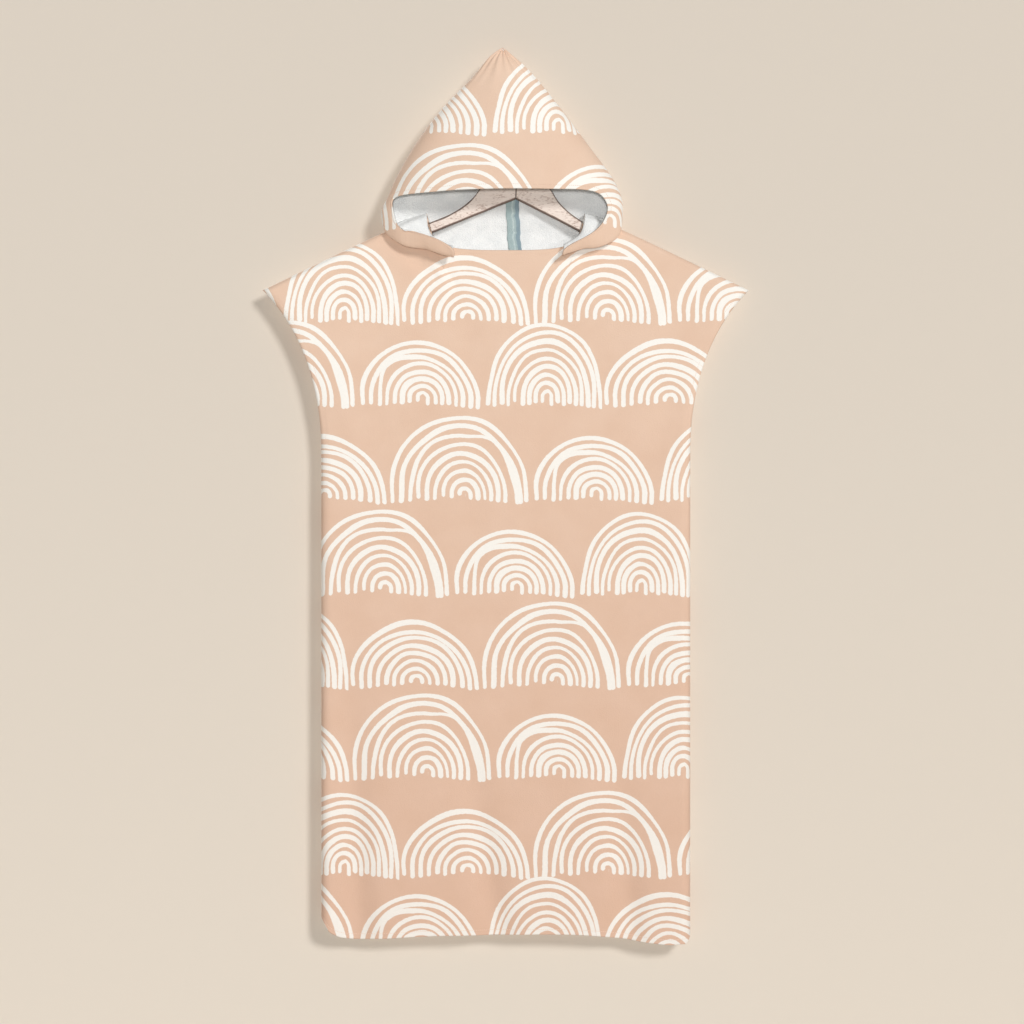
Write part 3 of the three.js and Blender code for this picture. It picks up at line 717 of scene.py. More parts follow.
radius = [
    np.linalg.norm(np.gradient(hood_face, axis=k), axis=-1)
    / (np.linalg.norm(np.gradient(normals, axis=k), axis=-1) + 1e-9)
    for k in (0, 1)
]
tightest = np.minimum(*radius)
for _ in range(4):
    tightest = around(tightest, np.min)
pressed = np.clip(0.5 * tightest / CLOTH, 0.12, 1)
for _ in range(3):
    pressed = around(pressed, np.mean)
pressed = pressed.ravel()
wall_group = hood_piece.vertex_groups.new(name="wall")
steps = np.round(pressed, 2)
for level in np.unique(steps):
    chosen = np.flatnonzero(steps == level)
    wall_group.add(chosen.tolist(), float(level), "REPLACE")
shape = bmesh.new()
shape.from_mesh(hood_piece.data)
bmesh.ops.remove_doubles(shape, verts=shape.verts, dist=1e-5)
print("open edges of the hood", sum(edge.is_boundary for edge in shape.edges))
shape.to_mesh(hood_piece.data)
shape.free()
solidify = hood_piece.modifiers.new("wall", "SOLIDIFY")
solidify.thickness = CLOTH
solidify.offset = -1
solidify.material_offset = 1
solidify.vertex_group = "wall"
print("hood", len(hood_piece.data.polygons), "faces")

# %% [markdown]
# ## Tape over the seam
#
# Inside the hood a woven tape covers the seam at the back of the neck. It lies on the cloth, so it
# takes its points from the hood itself, moved inwards, and its edges wander a little.

# %% Seam tape
TAPE_WIDTH, TAPE_THICKNESS, TAPE_LEAN, TAPE_ASIDE = 19, 1.6, 10, 10
TAPE_FROM, TAPE_TO = 0.985 / 20, 0.985 * 17 / 20


across = np.linspace(-0.5, 0.5, 15)[None, :]
rise = np.linspace(TAPE_FROM, TAPE_TO, 120)[:, None]
tape_share = (rise - TAPE_FROM) / (TAPE_TO - TAPE_FROM)
wander = 0.5 * np.sin(31 * tape_share) + 0.35 * np.sin(67 * tape_share + 1)
tape_x = HOOD_X + TAPE_ASIDE + TAPE_LEAN * (1 - rise / TAPE_TO) + wander + across * TAPE_WIDTH
tape_x, rise = np.broadcast_arrays(tape_x * MM, rise)
on_back = hood_point(angle_at(tape_x, rise, 0.55 * np.pi, 1.45 * np.pi), rise)
inward = -outward_normals(on_back, hood_middle)
crown = np.cos(np.pi * across) ** 0.5 * 0.5 * MM
walls = [
    on_back + inward * (CLOTH + 3 * SEAM_GAP + depth)[..., None]
    for depth in (np.zeros_like(tape_x), TAPE_THICKNESS * MM - 0.5 * MM + crown + 0 * tape_x)
]
tape_length = np.cumsum(np.linalg.norm(np.diff(on_back[:, 7], axis=0, prepend=on_back[:1, 7]), axis=1))
tape_uv = np.stack([across * TAPE_WIDTH * MM + 0 * tape_x, tape_length[:, None] + 0 * tape_x], -1)
tape = facing_out(cloth_wall("tape", walls[1], walls[0], tape_uv, 0.3 * MM))
print("tape", round(tape_length[-1], 3), "m long")

# %% [markdown]
# ## The hanger
#
# Two arms of pale wood meet over a notch. The load pulls the hanger a little out of level. Each arm
# is a rounded rectangle carried outwards between two curves, its top and its underside, and it
# closes in a round end. The hook is one steel wire.

# %% Hanger arms
NOTCH_Z = -148.6 * MM
LEAN = math.radians(2.5)
WOOD = 12 * MM
ARM_TOP = [(0, 52), (12, 51), (28, 42), (42, 29), (52, 17), (62, 2), (77, -13), (96, -26),
           (121, -38), (150, -50), (185, -63), (212, -72)]
ARM_BOTTOM = [(0, 0), (60, -27.3), (120, -54.7), (160, -72), (200, -88), (212, -92)]
ARM_LENGTH = 220 * MM


def leaned(points):
    """Turned about the hook's inner top, so that the left arm hangs lower."""
    x, y, z = np.moveaxis(points, -1, 0)
    c, s = math.cos(LEAN), math.sin(LEAN)
    return np.stack([x * c + z * s, y, z * c - x * s], -1)


def rounded_section(half_y, half_z, radius, steps=7):
    """A rectangle with round corners: quarter circles about four centres."""
    quarter = np.linspace(0, np.pi / 2, steps)
    turn = np.concatenate([quarter + k * np.pi / 2 for k in range(4)])
    side_y = np.repeat([1, -1, -1, 1], steps)
    side_z = np.repeat([1, 1, -1, -1], steps)
    y = side_y * (half_y - radius)[:, None] + radius[:, None] * np.cos(turn)
    z = side_z * (half_z - radius)[:, None] + radius[:, None] * np.sin(turn)
    return y, z


def closed_tube(name, rings, uv=None):
    """A skin over rings of points, with both ends closed by a fan."""
    count, sides = rings.shape[:2]
    index = np.arange(count * sides).reshape(count, sides)
    faces = quads(index, wrap=True).tolist()
    verts = np.vstack([rings.reshape(-1, 3), rings[0].mean(0), rings[-1].mean(0)])
    for ring, tip in ((index[0], count * sides), (index[-1], count * sides + 1)):
        faces += np.stack([ring, np.roll(ring, -1), np.full(sides, tip)], -1).tolist()
    return facing_out(new_object(name, verts, faces, uv))


def hanger_arm(name, side):
    x = np.concatenate([np.linspace(SEAM_GAP / 2, 0.211, 90), 0.212 + 0.008 * np.sin(np.linspace(0, np.pi / 2, 12))])
    top, bottom = through(ARM_TOP, x / MM) * MM, through(ARM_BOTTOM, x / MM) * MM
    beyond = np.clip((x - 0.212) / (ARM_LENGTH - 0.212), 0, 1)
    closing = np.sqrt(1 - beyond**2)
    mid, half = (top + bottom) / 2 + beyond * 1 * MM, (top - bottom) / 2 * np.clip(closing, 0.12, 1)
    half_y = WOOD / 2 * np.clip(closing, 0.3, 1)
    radius = np.minimum(4 * MM, 0.92 * np.minimum(half, half_y))
    y, z = rounded_section(half_y, half, radius)
    rings = np.stack([np.broadcast_to(x[:, None], y.shape) * side, y, NOTCH_Z + mid[:, None] + z], -1)
    from_edge = np.minimum(half[:, None] - np.abs(z), ARM_LENGTH - x[:, None])
    uv = np.stack([np.broadcast_to(x[:, None], z.shape), from_edge], -1).reshape(-1, 2)
    uv = np.vstack([uv, [[0, 0.02], [ARM_LENGTH, 0]]])
    return closed_tube(name, leaned(rings), uv)


left_arm = hanger_arm("arm_left", 1)
right_arm = hanger_arm("arm_right", -1)

# %% Hook
WIRE, CROOK = 4 * MM, 20 * MM
bend = np.radians(np.linspace(-50, 200, 11))
foot = NOTCH_Z + (52 - 16) * MM + SEAM_GAP
hook_line = [(0, foot), (0, foot + 22 * MM), (0, foot + 40 * MM), (4 * MM, -2 * CROOK - 8 * MM)]
hook_line += [
    ((CROOK + WIRE / 2) * math.cos(a), -CROOK + (CROOK + WIRE / 2) * math.sin(a)) for a in bend
]
path = catmull(hook_line, 160)
way = np.gradient(path, axis=0)
way /= np.linalg.norm(way, axis=1, keepdims=True)
round_angle = np.linspace(0, 2 * np.pi, 24, endpoint=False)
thin = np.clip(np.minimum(np.arange(160), np.arange(160)[::-1]) / 3, 0.35, 1) ** 0.5 * WIRE / 2
side_way = np.stack([way[:, 1], np.zeros(160), -way[:, 0]], -1)
rings = (
    np.stack([path[:, 0], np.zeros(160), path[:, 1]], -1)[:, None]
    + thin[:, None, None] * np.cos(round_angle)[None, :, None] * side_way[:, None]
    + thin[:, None, None] * np.sin(round_angle)[None, :, None] * np.array([0.0, 1, 0])
)
hook = closed_tube("hook", leaned(rings))

# %% [markdown]
# ## Stitches
#
# The hems are topstitched seven millimetres from the edge, with stitches three millimetres long.
# Each stitch is a short thread that comes up through the cloth, lies on it and goes down again: a
# tiny arched tube. One tube is worked out once and set along the lines on the cloth as arrays.

# %% Stitches along the hems
STITCH, STITCH_GAP, THREAD = 2.6 * MM, 0.6 * MM, 0.32 * MM


def stitch_line(points, normals):
    """Arched threads along a line: each rises by a half sine over its own length."""
    gone = np.concatenate([[0], np.cumsum(np.linalg.norm(np.diff(points, axis=0), axis=1))])
    starts = np.arange(0, gone[-1] - STITCH, STITCH + STITCH_GAP)
    at = lambda values, s: np.stack([np.interp(s, gone, column) for column in values.T], -1)
    share = np.array([0, 0.12, 0.5, 0.88, 1])
    s = starts[:, None] + STITCH * share
    middle = at(points, s.ravel()).reshape(*s.shape, 3)
    up = at(normals, s.ravel()).reshape(*s.shape, 3)
    up /= np.linalg.norm(up, axis=-1, keepdims=True)
    way = np.gradient(middle, axis=1)
    way /= np.linalg.norm(way, axis=-1, keepdims=True)
    side = np.cross(way, up)
    lift = (0.45 * np.sin(np.pi * share) - 0.25) * MM
    middle = middle + up * lift[None, :, None]
    turn = np.linspace(0, 2 * np.pi, 6, endpoint=False)
    thick = THREAD * np.array([0.35, 0.9, 1, 0.9, 0.35])[None, :, None, None]
    ring = np.cos(turn)[:, None] * side[:, :, None] + np.sin(turn)[:, None] * up[:, :, None]
    return middle[:, :, None] + thick * ring


def stitched(name, lines):
    """One mesh of every stitch on a piece's lines."""
    tubes = np.concatenate([stitch_line(*line) for line in lines])
    count, rings, sides = tubes.shape[:3]
    one = np.arange(rings * sides).reshape(rings, sides)
    skin = quads(one, wrap=True)
    caps = [one[0, ::-1], one[-1]]
    shift = (np.arange(count) * rings * sides)[:, None, None]
    faces = (skin[None] + shift).reshape(-1, 4).tolist()
    for cap in caps:
        faces += (cap[None] + shift[:, 0]).tolist()
    obj = facing_out(new_object(name, tubes.reshape(-1, 3), faces))
    print(name, count, "stitches")
    return obj


def panel_line(panel, x, z):
    """A line on a panel's printed face, with the face's normals from small steps."""
    at = lambda x, z: np.stack([BODY_X + x, panel["side"] * panel_depth(panel, x, z), z], -1)
    step = 0.5 * MM
    by_x, by_z = at(x + step, z) - at(x - step, z), at(x, z + step) - at(x, z - step)
    normal = np.cross(by_x, by_z)
    normal /= np.linalg.norm(normal, axis=-1, keepdims=True)
    normal *= np.sign(normal[:, 1:2] * panel["side"])
    return at(x, z) - normal * GROOVE, normal


def panel_stitches(name):
    panel = PANELS[name]
    x = np.linspace(-0.985, 0.985, 500) * SIDE_X
    hem = through(panel["hem"], x / MM) * MM + HEM_STITCH
    lines = [panel_line(panel, x, hem)]
    z = np.linspace(UNDERARM_Z + 12 * MM, SLEEVE_Z - 8 * MM, 300)
    for side in (-1, 1):
        lines.append(panel_line(panel, side * (half_width(z) - HEM_STITCH), z))
    neck = np.linspace(-0.86, 0.86, 300) * NECK_X
    lines.append(panel_line(panel, neck, neckline_z(neck, panel["drop"]) - HEM_STITCH))
    return stitched(name + "_stitches", lines)


front_stitches = panel_stitches("front")
back_stitches = panel_stitches("back")

# %% Stitches round the face
rows = np.arange(hood_face.shape[0])[:, None]
after = np.clip((from_edge < HEM_STITCH).sum(0), 1, hood_face.shape[0] - 1)
column = np.arange(hood_face.shape[1])
before = after - 1
part = (HEM_STITCH - from_edge[before, column]) / (from_edge[after, column] - from_edge[before, column])
line = hood_face[before, column] * (1 - part[:, None]) + hood_face[after, column] * part[:, None]
line_normals = normals[before, column]
visible = along[0] > 0.12
hood_stitches = stitched("hood_stitches", [(line[visible], line_normals[visible])])

# %% [markdown]
# ## Adding nodes
#
# A material is a small graph. One function adds a node, sets its properties and joins its inputs,
# and it gives back the output that the next node reads. Colours are written as sRGB hex, as a
# colour picker shows them, and one function turns them to the linear values that light works in.

# %% Node helper and colours
def linear(hex_colour):
    """sRGB hex to linear: the standard's straight toe and 2.4 power."""
    c = np.array([int(hex_colour[k : k + 2], 16) for k in (0, 2, 4)]) / 255
    return (*np.where(c <= 0.04045, c / 12.92, ((c + 0.055) / 1.055) ** 2.4), 1.0)


def add(tree, kind, *inputs, out=0, **settings):
    """Adds one node; inputs are values or sockets in the node's own order, None to leave one."""
    made = tree.nodes.new("ShaderNode" + kind)
    for key, value in settings.items():
        setattr(made, key, value)
    for socket, value in zip(made.inputs, inputs):
        if isinstance(value, bpy.types.NodeSocket):
            tree.links.new(value, socket)
        elif value is not None:
            socket.default_value = value
    return made.outputs[out]


def new_material(name, roughness, sheen=0.0, sheen_roughness=0.5, metallic=0.0, ior=1.5):
    """A Principled material with its uniform values set on the shader's own sockets."""
    material = bpy.data.materials.new(name)
    material.use_nodes = True
    shader = material.node_tree.nodes["Principled BSDF"]
    values = {"Roughness": roughness, "Sheen Weight": sheen, "Sheen Roughness": sheen_roughness,
              "Metallic": metallic, "IOR": ior}
    for key, value in values.items():
        shader.inputs[key].default_value = value
    return material, material.node_tree, shader


def finish_with(tree, shader, colour, height, depth, roughness=None):
    """Joins a colour, a bump of a real depth in metres and, if given, a roughness."""
    bump = tree.nodes.new("ShaderNodeBump")
    bump.inputs["Strength"].default_value = 1.0
    bump.inputs["Distance"].default_value = depth
    tree.links.new(height, bump.inputs["Height"])
    tree.links.new(bump.outputs["Normal"], shader.inputs["Normal"])
    tree.links.new(colour, shader.inputs["Base Color"])
    if roughness is not None:
        tree.links.new(roughness, shader.inputs["Roughness"])


# %% [markdown]
# ## The print
#
# Rows of nested arches, drawn as if with a round brush. No two strokes are quite parallel: they
# wobble, swell, touch and end unevenly at the foot. Four arches follow one another in a row, each
# with its own spacing, and each row starts at another place. Everything is in millimetres. A
# stroke is the set of points whose distance to its middle line is less than half its width, so one
# formula draws them all: rho = sqrt((x / side spacing)^2 + (y / upward spacing)^2), and the
# strokes lie where rho is a whole number plus a first one.

# %% Sizes of the print
REPEAT = 778.0
ROW_PITCH = 138.1
FIRST_BASELINE = -329.6
FIRST_STROKE = 0.7
# start in the row, middle, spacing left, right and upwards, strokes, straight foot, lean, and on
# which side the third stroke from outside drifts against the second
ARCHES = [
    (-6.4, 109.4, 12.5, 10.5, 13.2, 9, 6.0, 0.07, 0.72),
    (206.0, 305.4, 11.4, 10.7, 10.7, 8, 7.5, 0.09, -0.65),
    (393.0, 491.8, 10.2, 9.2, 12.4, 9, 9.0, -0.08, -0.15),
    (574.0, 676.6, 12.5, 11.6, 11.2, 8, 4.5, 0.06, 0.2),
]
# where each row starts in the repeat, and how far its feet are lifted
ROWS = [(23.4, 0.0), (326.8, 13.6), (586.9, 8.7), (468.0, 6.5), (725.0, 7.0), (531.0, 7.5)]


def table_of(tree, place, starts, rows):
    """A stepped table: three numbers, given as thousandths, for each stretch of place, 0 to 1."""
    ramp = tree.nodes.new("ShaderNodeValToRGB")
    ramp.color_ramp.interpolation = "CONSTANT"
    tree.links.new(place, ramp.inputs[0])
    elements = ramp.color_ramp.elements
    while len(elements) > 1:
        elements.remove(elements[-1])
    for k, (start, row) in enumerate(zip(starts, rows)):
        element = elements[0] if k == 0 else elements.new(start)
        element.position = start
        element.color = (*[value / 1000 for value in row], 1.0)
    scaled = add(tree, "VectorMath", ramp.outputs[0], (1000, 1000, 1000), operation="MULTIPLY")
    split = add(tree, "SeparateXYZ", scaled).node
    return split.outputs[0], split.outputs[1], split.outputs[2]


# %% One row of arches
def row_group():
    """Distance in millimetres from a point to the nearest stroke's edge in one row, inside below 0."""
    tree = bpy.data.node_groups.new("row of arches", "ShaderNodeTree")
    for name, way in (("x", "INPUT"), ("up", "INPUT"), ("row", "INPUT"), ("distance", "OUTPUT")):
        tree.interface.new_socket(name, in_out=way, socket_type="NodeSocketFloat")
    given = tree.nodes.new("NodeGroupInput").outputs
    kind = add(tree, "Math", given["row"], 6.0, operation="FLOORED_MODULO")
    kind = add(tree, "Math", kind, 1 / 6, 0.5 / 6, operation="MULTIPLY_ADD")
    shift, lift, _ = table_of(tree, kind, [k / 6 for k in range(6)], [(*row, 0) for row in ROWS])
    x = add(tree, "Math", given["x"], shift, operation="SUBTRACT")
    x = add(tree, "Math", x, ARCHES[0][0] + REPEAT, ARCHES[0][0], operation="WRAP")
    up = add(tree, "Math", given["up"], lift, operation="SUBTRACT")
    place = add(tree, "Math", x, 1 / REPEAT, -ARCHES[0][0] / REPEAT, operation="MULTIPLY_ADD")
    starts = [(arch[0] - ARCHES[0][0]) / REPEAT for arch in ARCHES]
    middle, left, right = table_of(tree, place, starts, [arch[1:4] for arch in ARCHES])
    upward, strokes, foot = table_of(tree, place, starts, [arch[4:7] for arch in ARCHES])
    lean, seed, drift = table_of(
        tree, place, starts, [(a[7], 9.7 * k, a[8] + 1) for k, a in enumerate(ARCHES)]
    )

    above = add(tree, "Math", up, foot, operation="SUBTRACT")
    above = add(tree, "Math", above, 0.0, operation="MAXIMUM")
    across = add(tree, "Math", x, middle, operation="SUBTRACT")
    across = add(tree, "Math", above, lean, across, operation="MULTIPLY_ADD")
    on_right = add(tree, "Math", across, 0.0, operation="GREATER_THAN")
    side = add(tree, "Mix", on_right, None, left, right, data_type="FLOAT")
    share_x = add(tree, "Math", across, side, operation="DIVIDE")
    share_y = add(tree, "Math", above, upward, operation="DIVIDE")
    flat = add(tree, "CombineXYZ", share_x, share_y, 0.0)
    rho = add(tree, "VectorMath", flat, out="Value", operation="LENGTH")
    rho = add(tree, "Math", rho, 0.05, operation="MAXIMUM")
    real = add(tree, "CombineXYZ", across, above, 0.0)
    spacing = add(tree, "VectorMath", real, out="Value", operation="LENGTH")
    spacing = add(tree, "Math", spacing, rho, operation="DIVIDE")
    spacing = add(tree, "Math", spacing, 5.0, operation="MAXIMUM")
    along = add(tree, "Math", share_x, rho, operation="DIVIDE")
    first = add(tree, "Math", rho, FIRST_STROKE, operation="SUBTRACT")
    last = add(tree, "Math", strokes, 1.0, operation="SUBTRACT")
    spread_out = add(tree, "Math", share_x, strokes, operation="DIVIDE")
    spread_out = add(tree, "Math", spread_out, operation="ABSOLUTE")
    right_drop = add(tree, "Math", on_right, -2.5, operation="MULTIPLY")
    feet = add(tree, "Math", spread_out, -7.0, right_drop, operation="MULTIPLY_ADD")
    feet = add(tree, "Math", feet, 4.5, operation="ADD")
    drift = add(tree, "Math", drift, 1.0, operation="SUBTRACT")
    thin = add(tree, "Math", add(tree, "Math", drift, 0.0, operation="MAXIMUM"), -1.2,
               operation="MULTIPLY")
    to_side = add(tree, "Math", drift, operation="SIGN")
    to_side = add(tree, "Math", along, to_side, operation="MULTIPLY")
    end = add(tree, "MapRange", to_side, 0.7, 1.0, 0.0, 1.0, interpolation_type="SMOOTHSTEP")
    fade = add(tree, "Math", add(tree, "Math", drift, operation="SIGN"), -0.4, 0.6,
               operation="MULTIPLY_ADD")
    fade = add(tree, "Math", end, fade, operation="MULTIPLY")
    fade = add(tree, "Math", 1.0, fade, operation="SUBTRACT")
    to_side = add(tree, "MapRange", to_side, 0.1, 0.65, 0.0, 1.0, interpolation_type="SMOOTHSTEP")
    to_side = add(tree, "Math", to_side, fade, operation="MULTIPLY")
    drift = add(tree, "Math", add(tree, "Math", drift, operation="ABSOLUTE"), to_side,
                operation="MULTIPLY")
    third = add(tree, "Math", last, 2.0, operation="SUBTRACT")

    nearest = None
    for step in (0.0, 1.0):
        k = add(tree, "Math", first, operation="FLOOR")
        k = add(tree, "Math", k, step, operation="ADD")
        k = add(tree, "Math", k, 0.0, operation="MAXIMUM")
        k = add(tree, "Math", k, last, operation="MINIMUM")
        where = add(tree, "Math", k, 2.7, seed, operation="MULTIPLY_ADD")
        spot = add(tree, "CombineXYZ", add(tree, "Math", along, 1.2, operation="MULTIPLY"),
                   add(tree, "Math", up, 0.016, operation="MULTIPLY"), where)
        wobble = add(tree, "TexNoise", spot, None, 1.0, 0.0, out="Color")
        wobble = add(tree, "VectorMath", wobble, (0.5, 0.5, 0.5), operation="SUBTRACT")
        wobble = add(tree, "SeparateXYZ", wobble).node
        sway = add(tree, "Math", k, 0.065, 0.3, operation="MULTIPLY_ADD")
        off = add(tree, "Math", wobble.outputs[0], sway, k, operation="MULTIPLY_ADD")
        is_third = add(tree, "Math", k, third, 0.1, operation="COMPARE")
        off = add(tree, "Math", is_third, drift, off, operation="MULTIPLY_ADD")
        off = add(tree, "Math", first, off, operation="SUBTRACT")
        off = add(tree, "Math", off, spacing, operation="MULTIPLY")
        end = add(tree, "Math", wobble.outputs[2], 12.0, feet, operation="MULTIPLY_ADD")
        under = add(tree, "Math", end, up, operation="SUBTRACT")
        under = add(tree, "Math", under, 0.0, operation="MAXIMUM")
        reach = add(tree, "CombineXYZ", off, under, 0.0)
        reach = add(tree, "VectorMath", reach, out="Value", operation="LENGTH")
        brush = add(tree, "TexWhiteNoise", None, where, noise_dimensions="1D")
        half = add(tree, "Math", brush, 0.9, 2.55, operation="MULTIPLY_ADD")
        half = add(tree, "Math", k, 0.06, half, operation="MULTIPLY_ADD")
        half = add(tree, "Math", wobble.outputs[1], 2.2, half, operation="MULTIPLY_ADD")
        half = add(tree, "Math", is_third, thin, half, operation="MULTIPLY_ADD")
        edge = add(tree, "Math", reach, half, operation="SUBTRACT")
        nearest = edge if nearest is None else add(tree, "Math", nearest, edge, operation="MINIMUM")
    result = tree.nodes.new("NodeGroupOutput")
    tree.links.new(nearest, result.inputs["distance"])
    return tree


ARCH_ROW = row_group()


def arch_print(tree, u, v):
    """Ink from 0 to 1 at a point of the cloth, from the row there and the one below it."""
    height = add(tree, "Math", v, FIRST_BASELINE - 14, operation="SUBTRACT")
    row = add(tree, "Math", height, ROW_PITCH, operation="DIVIDE")
    row = add(tree, "Math", row, operation="FLOOR")
    both = []
    for lower in (0.0, 1.0):
        this = add(tree, "Math", row, lower, operation="SUBTRACT")
        base = add(tree, "Math", this, ROW_PITCH, FIRST_BASELINE, operation="MULTIPLY_ADD")
        up = add(tree, "Math", v, base, operation="SUBTRACT")
        count = add(tree, "Math", this, -1.0, operation="MULTIPLY")
        group = tree.nodes.new("ShaderNodeGroup")
        group.node_tree = ARCH_ROW
        for name, value in (("x", u), ("up", up), ("row", count)):
            tree.links.new(value, group.inputs[name])
        both.append(group.outputs["distance"])
    edge = add(tree, "Math", *both, operation="MINIMUM")
    spot = add(tree, "CombineXYZ", u, v, 0.0)
    rough = add(tree, "TexNoise", spot, None, 0.2, 2.0)
    edge = add(tree, "Math", add(tree, "Math", rough, 1.4, -0.7, operation="MULTIPLY_ADD"), edge,
               operation="ADD")
    return add(tree, "MapRange", edge, 0.55, -0.55, 0.0, 1.0, interpolation_type="SMOOTHSTEP")


# %% [markdown]
# ## Printed velour and looped terry
#
# The cloth is cotton terry whose face loops are sheared to a short pile, velour, and then printed.
# The pile scatters light softly and shines a little at grazing angles, which is the shader's sheen.
# Where it was brushed it looks lighter or darker by a few per cent. The inside keeps its loops,
# about 1.7 mm apart, and stays white.

# %% Cloth materials
# at the hem and at the hood's tip: painted shade and light, darker at the hem and lighter at the hood, for light
# that falls off downwards
GROUND, GROUND_DARK, INK = ("D3B09A", "E8CBB4"), ("CEAA92", "E2C2AA"), ("E6E0D8", "F8F5EE")


def cloth_place(tree):
    """The cloth's own coordinates in millimetres, across and up."""
    uv = tree.nodes.new("ShaderNodeUVMap")
    uv.uv_map = "cut"
    scaled = add(tree, "VectorMath", uv.outputs[0], (1000, 1000, 1000), operation="MULTIPLY")
    split = add(tree, "SeparateXYZ", scaled).node
    return scaled, split.outputs[0], split.outputs[1]


def printed_velour():
    material, tree, shader = new_material("printed cotton velour", 0.92, 0.18, 0.45)
    spot, u, v = cloth_place(tree)
    ink = arch_print(tree, u, v)
    brushed = add(tree, "TexNoise", spot, None, 0.018, 3.0)
    pile = add(tree, "TexNoise", spot, None, 0.55, 2.0)
    tone = add(tree, "Math", pile, 0.5, brushed, operation="MULTIPLY_ADD")
    tone = add(tree, "MapRange", tone, 0.45, 1.05, 0.0, 1.0)
    place = add(tree, "SeparateXYZ", add(tree, "TexCoord", out="Object")).node
    # painted shade and light: by height, the colours blend from the darker hem values to the lighter top values, for
    # light that falls off downwards
    painted_falloff = add(tree, "MapRange", place.outputs[2], -1.24, -0.06, 0.0, 1.0)
    shades = []
    for low, high in (GROUND_DARK, GROUND, INK):
        shade = add(tree, "Mix", painted_falloff, out=2, data_type="RGBA").node
        shade.inputs[6].default_value = linear(low)
        shade.inputs[7].default_value = linear(high)
        shades.append(shade.outputs[2])
    ground = add(tree, "Mix", tone, out=2, data_type="RGBA").node
    colour = add(tree, "Mix", ink, out=2, data_type="RGBA").node
    tree.links.new(shades[0], ground.inputs[6])
    tree.links.new(shades[1], ground.inputs[7])
    tree.links.new(ground.outputs[2], colour.inputs[6])
    tree.links.new(shades[2], colour.inputs[7])
    height = add(tree, "Math", ink, -0.35, pile, operation="MULTIPLY_ADD")
    finish_with(tree, shader, colour.outputs[2], height, 0.35 * MM)
    return material


def looped_terry():
    material, tree, shader = new_material("looped cotton terry", 0.95, 0.12, 0.5)
    spot = add(tree, "TexCoord", out="Object")
    spot = add(tree, "VectorMath", spot, (1000, 1000, 1000), operation="MULTIPLY")
    loops = add(tree, "TexVoronoi", spot, None, 1 / 1.7)
    drift = add(tree, "TexNoise", spot, None, 0.05, 2.0)
    # painted shade: the white is darker between the loops, in their hollows, and also drifts a little at random
    tone = add(tree, "Math", loops, -0.35, drift, operation="MULTIPLY_ADD")
    tone = add(tree, "MapRange", tone, 0.1, 0.5, 0.0, 1.0)
    colour = add(tree, "Mix", tone, out=2, data_type="RGBA").node
    colour.inputs[6].default_value = linear("E9EAE9")
    colour.inputs[7].default_value = linear("F8F8F6")
    height = add(tree, "Math", loops, -1.0, operation="MULTIPLY")
    finish_with(tree, shader, colour.outputs[2], height, 0.6 * MM)
    return material


velour, terry = printed_velour(), looped_terry()
for cloth_piece in (front_body, back_body, hood_piece):
    cloth_piece.data.materials.append(velour)
    cloth_piece.data.materials.append(terry)

# %% [markdown]
# ## Tape, wood and wire
#
# The tape is a soft cotton twill, dyed a greyed green, darker along one edge, with a pale wavy
# line along its middle. The hanger is solid beech, limewashed: the lime fills the pores, the flecks
# of the wood show brown, and the narrow edges are darker, partly a dark stain and partly painted
# shade in the gap along them. The hook is drawn steel wire with a fine lengthwise brush.

# %% Tape, wood and wire materials
def twill_tape():
    material, tree, shader = new_material("cotton twill tape", 0.9, 0.1)
    spot, u, v = cloth_place(tree)
    wave = add(tree, "TexNoise", add(tree, "CombineXYZ", 0.0, v, 0.0), None, 0.07, 2.0)
    wave = add(tree, "Math", wave, 7.0, -3.5, operation="MULTIPLY_ADD")
    across = add(tree, "Math", u, wave, operation="ADD")
    # a darker band along one edge and a pale wavy line along the middle
    dark = add(tree, "MapRange", across, 3.2, 4.2, 0.0, 1.0)
    line = add(tree, "Math", across, 0.4, operation="ADD")
    line = add(tree, "Math", line, operation="ABSOLUTE")
    pale = add(tree, "MapRange", line, 1.9, 0.7, 0.0, 1.0)
    mottle = add(tree, "TexNoise", spot, None, 0.16, 3.0)
    pale = add(tree, "Math", pale, mottle, operation="MULTIPLY")
    base = add(tree, "Mix", dark, out=2, data_type="RGBA").node
    base.inputs[6].default_value = linear("B3C6C6")
    base.inputs[7].default_value = linear("94A9B2")
    colour = add(tree, "Mix", pale, out=2, data_type="RGBA").node
    tree.links.new(base.outputs[2], colour.inputs[6])
    colour.inputs[7].default_value = linear("DDEAE8")
    slanted = add(tree, "Math", u, v, operation="ADD")
    twill = add(tree, "Math", slanted, 2 * math.pi / 0.9, operation="MULTIPLY")
    twill = add(tree, "Math", twill, operation="SINE")
    height = add(tree, "Math", twill, 0.3, mottle, operation="MULTIPLY_ADD")
    finish_with(tree, shader, colour.outputs[2], height, 0.3 * MM)
    return material


